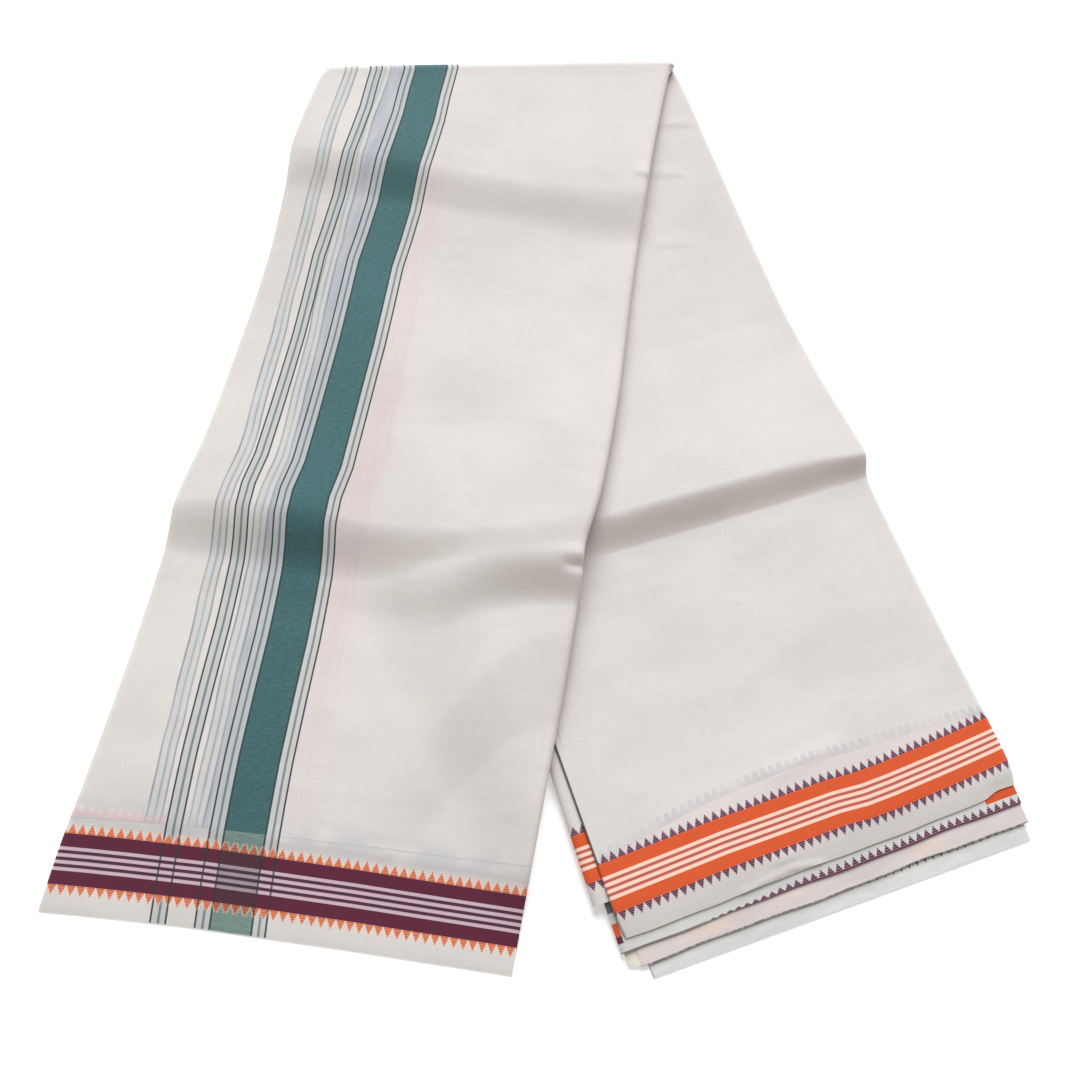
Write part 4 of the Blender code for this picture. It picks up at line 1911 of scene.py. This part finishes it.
@dataclass
class FrontLayers(FoldedLayers):
    """The hidden layers of the front leg, which end short of the hem of the sheet over them."""

    bend_shares: tuple[float, ...] = (0.2, 0.45, 0.75, 1.1)
    bend_play: float = 0.8

    def rows(self) -> tuple[Array, Array, Array]:
        """The rows inside the bend, low enough to fit it, and those down the leg.

        Returns:
            The sections, and the height left free under and over each.
        """
        inner = STRIP.bend_radius - STRIP.thickness
        starts = [FRONT.bend_section(share * STRIP.bend_radius, STRIP.front_stack) for share in self.bend_shares]
        rows = dense(FRONT_SECTIONS, self.row_spacing)
        rows = rows[rows[:, 0] < FRONT_LAYERS_END]
        high = []
        for share in self.bend_shares:
            reach = math.sqrt(inner**2 - max(STRIP.bend_radius * (1.0 - share), 0.0) ** 2)
            high.append(STRIP.front_stack - min(reach - self.bend_play, STRIP.front_stack - self.cover))
        every = np.concatenate([np.array(starts), rows])
        return every, np.zeros(len(every)), np.concatenate([high, np.full(len(rows), self.cover)])


@dataclass
class BackLayers(FoldedLayers):
    """The hidden layers of the back leg, up to where its lower hems show."""

    end: float = 431.0
    row_spacing: float = 2.5
    bend_shares: tuple[float, ...] = (0.2, 0.45, 0.75, 1.1)
    bend_play: float = 0.35
    past_flap: Pair = (1.0, 2.5)

    def rows(self) -> tuple[Array, Array, Array]:
        """The rows inside the bend, over the cloth's flap there, and those down the leg.

        Returns:
            The sections, and the height left free under and over each.
        """
        inner = STRIP.bend_radius - STRIP.thickness
        flap_end = STRIP.bend_flap + STRIP.bend_radius
        insets = [share * STRIP.bend_radius for share in self.bend_shares]
        insets += [flap_end + past for past in self.past_flap]
        low = []
        for inset in insets[:-1]:
            reach = math.sqrt(inner**2 - max(STRIP.bend_radius - inset, 0.0) ** 2)
            low.append(max(STRIP.bend_radius - reach + self.bend_play, self.cover))
        starts = np.array([BACK.bend_section(inset, STRIP.back_stack) for inset in insets])
        rows = dense(BACK_SECTIONS, self.row_spacing)
        rows = rows[rows[:, 0] < self.end]
        every = np.concatenate([starts, rows])
        low = np.concatenate([low, np.zeros(len(every) - len(low))])
        return every, low, np.full(len(every), self.cover)


@dataclass
class LowestLayers(FoldedLayers):
    """The layers at the bottom of the back leg, whose hem reaches furthest."""

    start: float = 431.5
    end: float = 632.0
    top: float = 2.6
    sag: float = 1.5
    sag_start: float = 560.0
    draw: float = 3.5
    left: Pair = (-130.0, -121.0)
    right: Pair = (116.5, 113.0)

    def rows(self) -> tuple[Array, Array, Array]:
        """The rows to the hem, which narrows and sinks a little.

        Returns:
            The sections, and the height left free under and over each.
        """
        along = np.linspace(self.start, self.end, math.ceil((self.end - self.start) / self.row_spacing) + 1)
        narrow = smoothstep((along - self.sag_start) / (self.end - self.sag_start))
        none = np.zeros(len(along))
        left, right = lerp(*self.left, narrow), lerp(*self.right, narrow)
        rows = np.stack([along - self.draw * narrow, left, along, right, self.top - self.sag * narrow], axis=1)
        return rows, none, none


@dataclass
class CornerTab(ClothPiece):
    """The cream corner of an inner layer that peeks out at the back leg's hem."""

    corners: tuple[Pair, ...] = ((598.0, -132.4), (598.0, -122.0), (621.4, -122.5), (618.5, -131.6))
    height: float = 2.85
    droop: float = 0.9
    ripple: float = 0.3
    ripple_length: float = 2.2
    steps: int = 10

    def mesh(self) -> bpy.types.Object:
        """The corner as a small thin sheet that droops to its tip.

        Returns:
            The piece's object.
        """
        top_left, top_right, low_right, low_left = (np.array(corner) for corner in self.corners)
        down = np.linspace(0.0, 1.0, self.steps)[:, None, None]
        right = np.linspace(0.0, 1.0, self.steps)[None, :, None]
        spots = lerp(lerp(top_left, top_right, right), lerp(low_left, low_right, right), down)
        along, out = spots[..., 0], spots[..., 1]
        droop = self.droop * smoothstep(np.linspace(0.0, 1.0, self.steps))[:, None]
        droop = droop + self.ripple * np.sin(out / self.ripple_length)
        weave = np.dstack([out, self.corners[2][0] - along, along])
        return self.sheet(placed(BACK, along, out, self.height - droop), weave, weave)


# The room


@dataclass(frozen=True)
class Studio:
    """A white floor, soft light from behind and above, and the photograph's camera."""

    camera_place: tuple[float, float, float] = (-0.0677, -0.3097, 0.6111)
    camera_target: tuple[float, float, float] = (0.0065, -0.0612, 0.0)
    camera_roll: float = math.radians(12.7)
    lens: float = 36.0
    sensor: float = 36.0
    sky: float = 0.37
    sky_colour: tuple[float, float, float] = (1.0, 0.95, 0.91)
    key_strength: float = 3.85
    key_colour: tuple[float, float, float] = (0.92, 0.98, 1.0)
    key_softness: float = math.radians(42.0)
    key_place: tuple[float, float, float] = (0.12, 1.35, 0.92)
    floor_size: float = 6.0
    floor_colour: Colour = (253, 253, 253)
    floor_glow: float = 0.3
    floor_gap: float = 0.05

    def make(self) -> None:
        """Builds the floor, the light and the camera."""
        self.make_floor()
        self.make_light()
        self.make_camera()
        bpy.context.scene.view_settings.view_transform = "Standard"
        log.info("studio ready")

    def make_floor(self) -> None:
        """Lays the plain pale floor just under the cloth."""
        half = self.floor_size / 2
        data = bpy.data.meshes.new("studio_floor")
        corners = [(-half, -half, 0.0), (half, -half, 0.0), (half, half, 0.0), (-half, half, 0.0)]
        data.from_pydata(corners, [], [(0, 1, 2, 3)])
        material = bpy.data.materials.new("studio floor")
        material.use_nodes = True
        values = {
            "Base Color": self.floor_colour,
            "Roughness": 1.0,
            "Specular IOR Level": 0.0,
            "Emission Color": self.floor_colour,
            "Emission Strength": self.floor_glow,
        }
        for label, value in values.items():
            Board(material.node_tree).feed(material.node_tree.nodes["Principled BSDF"].inputs[label], value)
        data.materials.append(material)
        floor = bpy.data.objects.new("studio_floor", data)
        floor.location.z = -self.floor_gap * MM
        bpy.context.scene.collection.objects.link(floor)

    def make_light(self) -> None:
        """Sets an even white sky and one broad soft lamp behind the bend."""
        world = bpy.data.worlds.new("studio sky")
        world.use_nodes = True
        sky = world.node_tree.nodes["Background"]
        sky.inputs["Color"].default_value = (*self.sky_colour, 1.0)
        sky.inputs["Strength"].default_value = self.sky
        bpy.context.scene.world = world
        lamp = bpy.data.lights.new("studio_key", "SUN")
        lamp.angle = self.key_softness
        lamp.energy = self.key_strength
        lamp.color = self.key_colour
        key = bpy.data.objects.new("studio_key", lamp)
        key.location = self.key_place
        key.rotation_euler = (-Vector(self.key_place)).to_track_quat("-Z", "Y").to_euler()
        bpy.context.scene.collection.objects.link(key)

    def make_camera(self) -> None:
        """Sets the camera at the photograph's place, tilt and roll."""
        place, target = Vector(self.camera_place), Vector(self.camera_target)
        forward = (target - place).normalized()
        right = forward.cross(Vector((0.0, 0.0, 1.0))).normalized()
        up = right.cross(forward)
        turned_right = right * math.cos(self.camera_roll) + up * math.sin(self.camera_roll)
        turned_up = up * math.cos(self.camera_roll) - right * math.sin(self.camera_roll)
        axes = Matrix((turned_right, turned_up, -forward)).transposed()
        data = bpy.data.cameras.new("studio_camera")
        data.lens = self.lens
        data.sensor_width = self.sensor
        data.clip_start = 0.01
        data.clip_end = 20.0
        camera = bpy.data.objects.new("studio_camera", data)
        camera.matrix_world = Matrix.Translation(place) @ axes.to_4x4()
        bpy.context.scene.collection.objects.link(camera)
        bpy.context.scene.camera = camera


def dhoti_pieces() -> list[ClothPiece]:
    """Every piece of the cloth, in the order of making.

    Returns:
        The pieces.
    """
    lower = CottonFinish("inner cotton", YARN.cotton_low)
    return [
        FrontSheet(
            "front_cloth", ("front_sheet",), Slot.FACE, FrontFinish("front face cotton", YARN.cotton), (0.25, 0.67)
        ),
        BackSheet(
            "back_cloth", ("back_sheet",), Slot.REVERSE, BackFinish("back reverse cotton", YARN.cotton), (0.25, 0.60)
        ),
        BackLayer(
            "left_layer_cloth",
            ("back_left_layer",),
            Slot.REVERSE,
            BackFinish("left layer cotton", YARN.cotton, ghost_share=0.0, edge_share=0.0, second_share=0.0),
            (0.25, 0.153),
            end=585.0,
            left=-136.6,
            flare=3.0,
            right=112.5,
            top=6.5,
            end_sag=0.0,
            left_fall=2.4,
            wave=0.2,
        ),
        BackLayer(
            "second_layer_cloth",
            ("back_second_layer",),
            Slot.REVERSE,
            TurnedRowFinish("turned border cotton", YARN.cotton_low, wrinkles=2.5),
            (0.25, 0.183),
            end=612.0,
            wave_phase=1.0,
        ),
        BackLayer(
            "third_layer_cloth",
            ("back_third_layer",),
            Slot.REVERSE,
            ThirdLayerFinish("pink tinted cotton", YARN.cotton_pink, wrinkles=2.5),
            (0.24, 0.19),
            end=621.8,
            end_skew=0.6,
            left=-125.5,
            right=115.6,
            top=3.9,
            left_fall=0.4,
            wave_phase=2.3,
        ),
        CornerTab("cream_corner", (), Slot.REVERSE, CottonFinish("cream cotton", YARN.cream), (0.0104, 0.023)),
        FrontLayers("front_folded_layers", ("front_inner_layers",), Slot.INNER, lower, (0.25, 0.60)),
        BackLayers("back_folded_layers", ("back_inner_layers",), Slot.INNER, lower, (0.25, 0.42), leg=BACK),
        LowestLayers(
            "lowest_layers_cloth",
            ("back_lowest_layers",),
            Slot.INNER,
            LowestFinish("lowest layers cotton", YARN.cotton_low, wrinkles=4.0),
            (0.25, 0.21),
            leg=BACK,
            folds=LOW_FOLDS,
            creased=False,
        ),
    ]


def main() -> None:
    """Builds the cloth's pieces in order, then the room."""
    logging.basicConfig(level=logging.INFO, format="%(name)s %(message)s")
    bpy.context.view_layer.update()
    for piece in dhoti_pieces():
        piece.make()
    Studio().make()


if __name__ == "__main__":
    main()
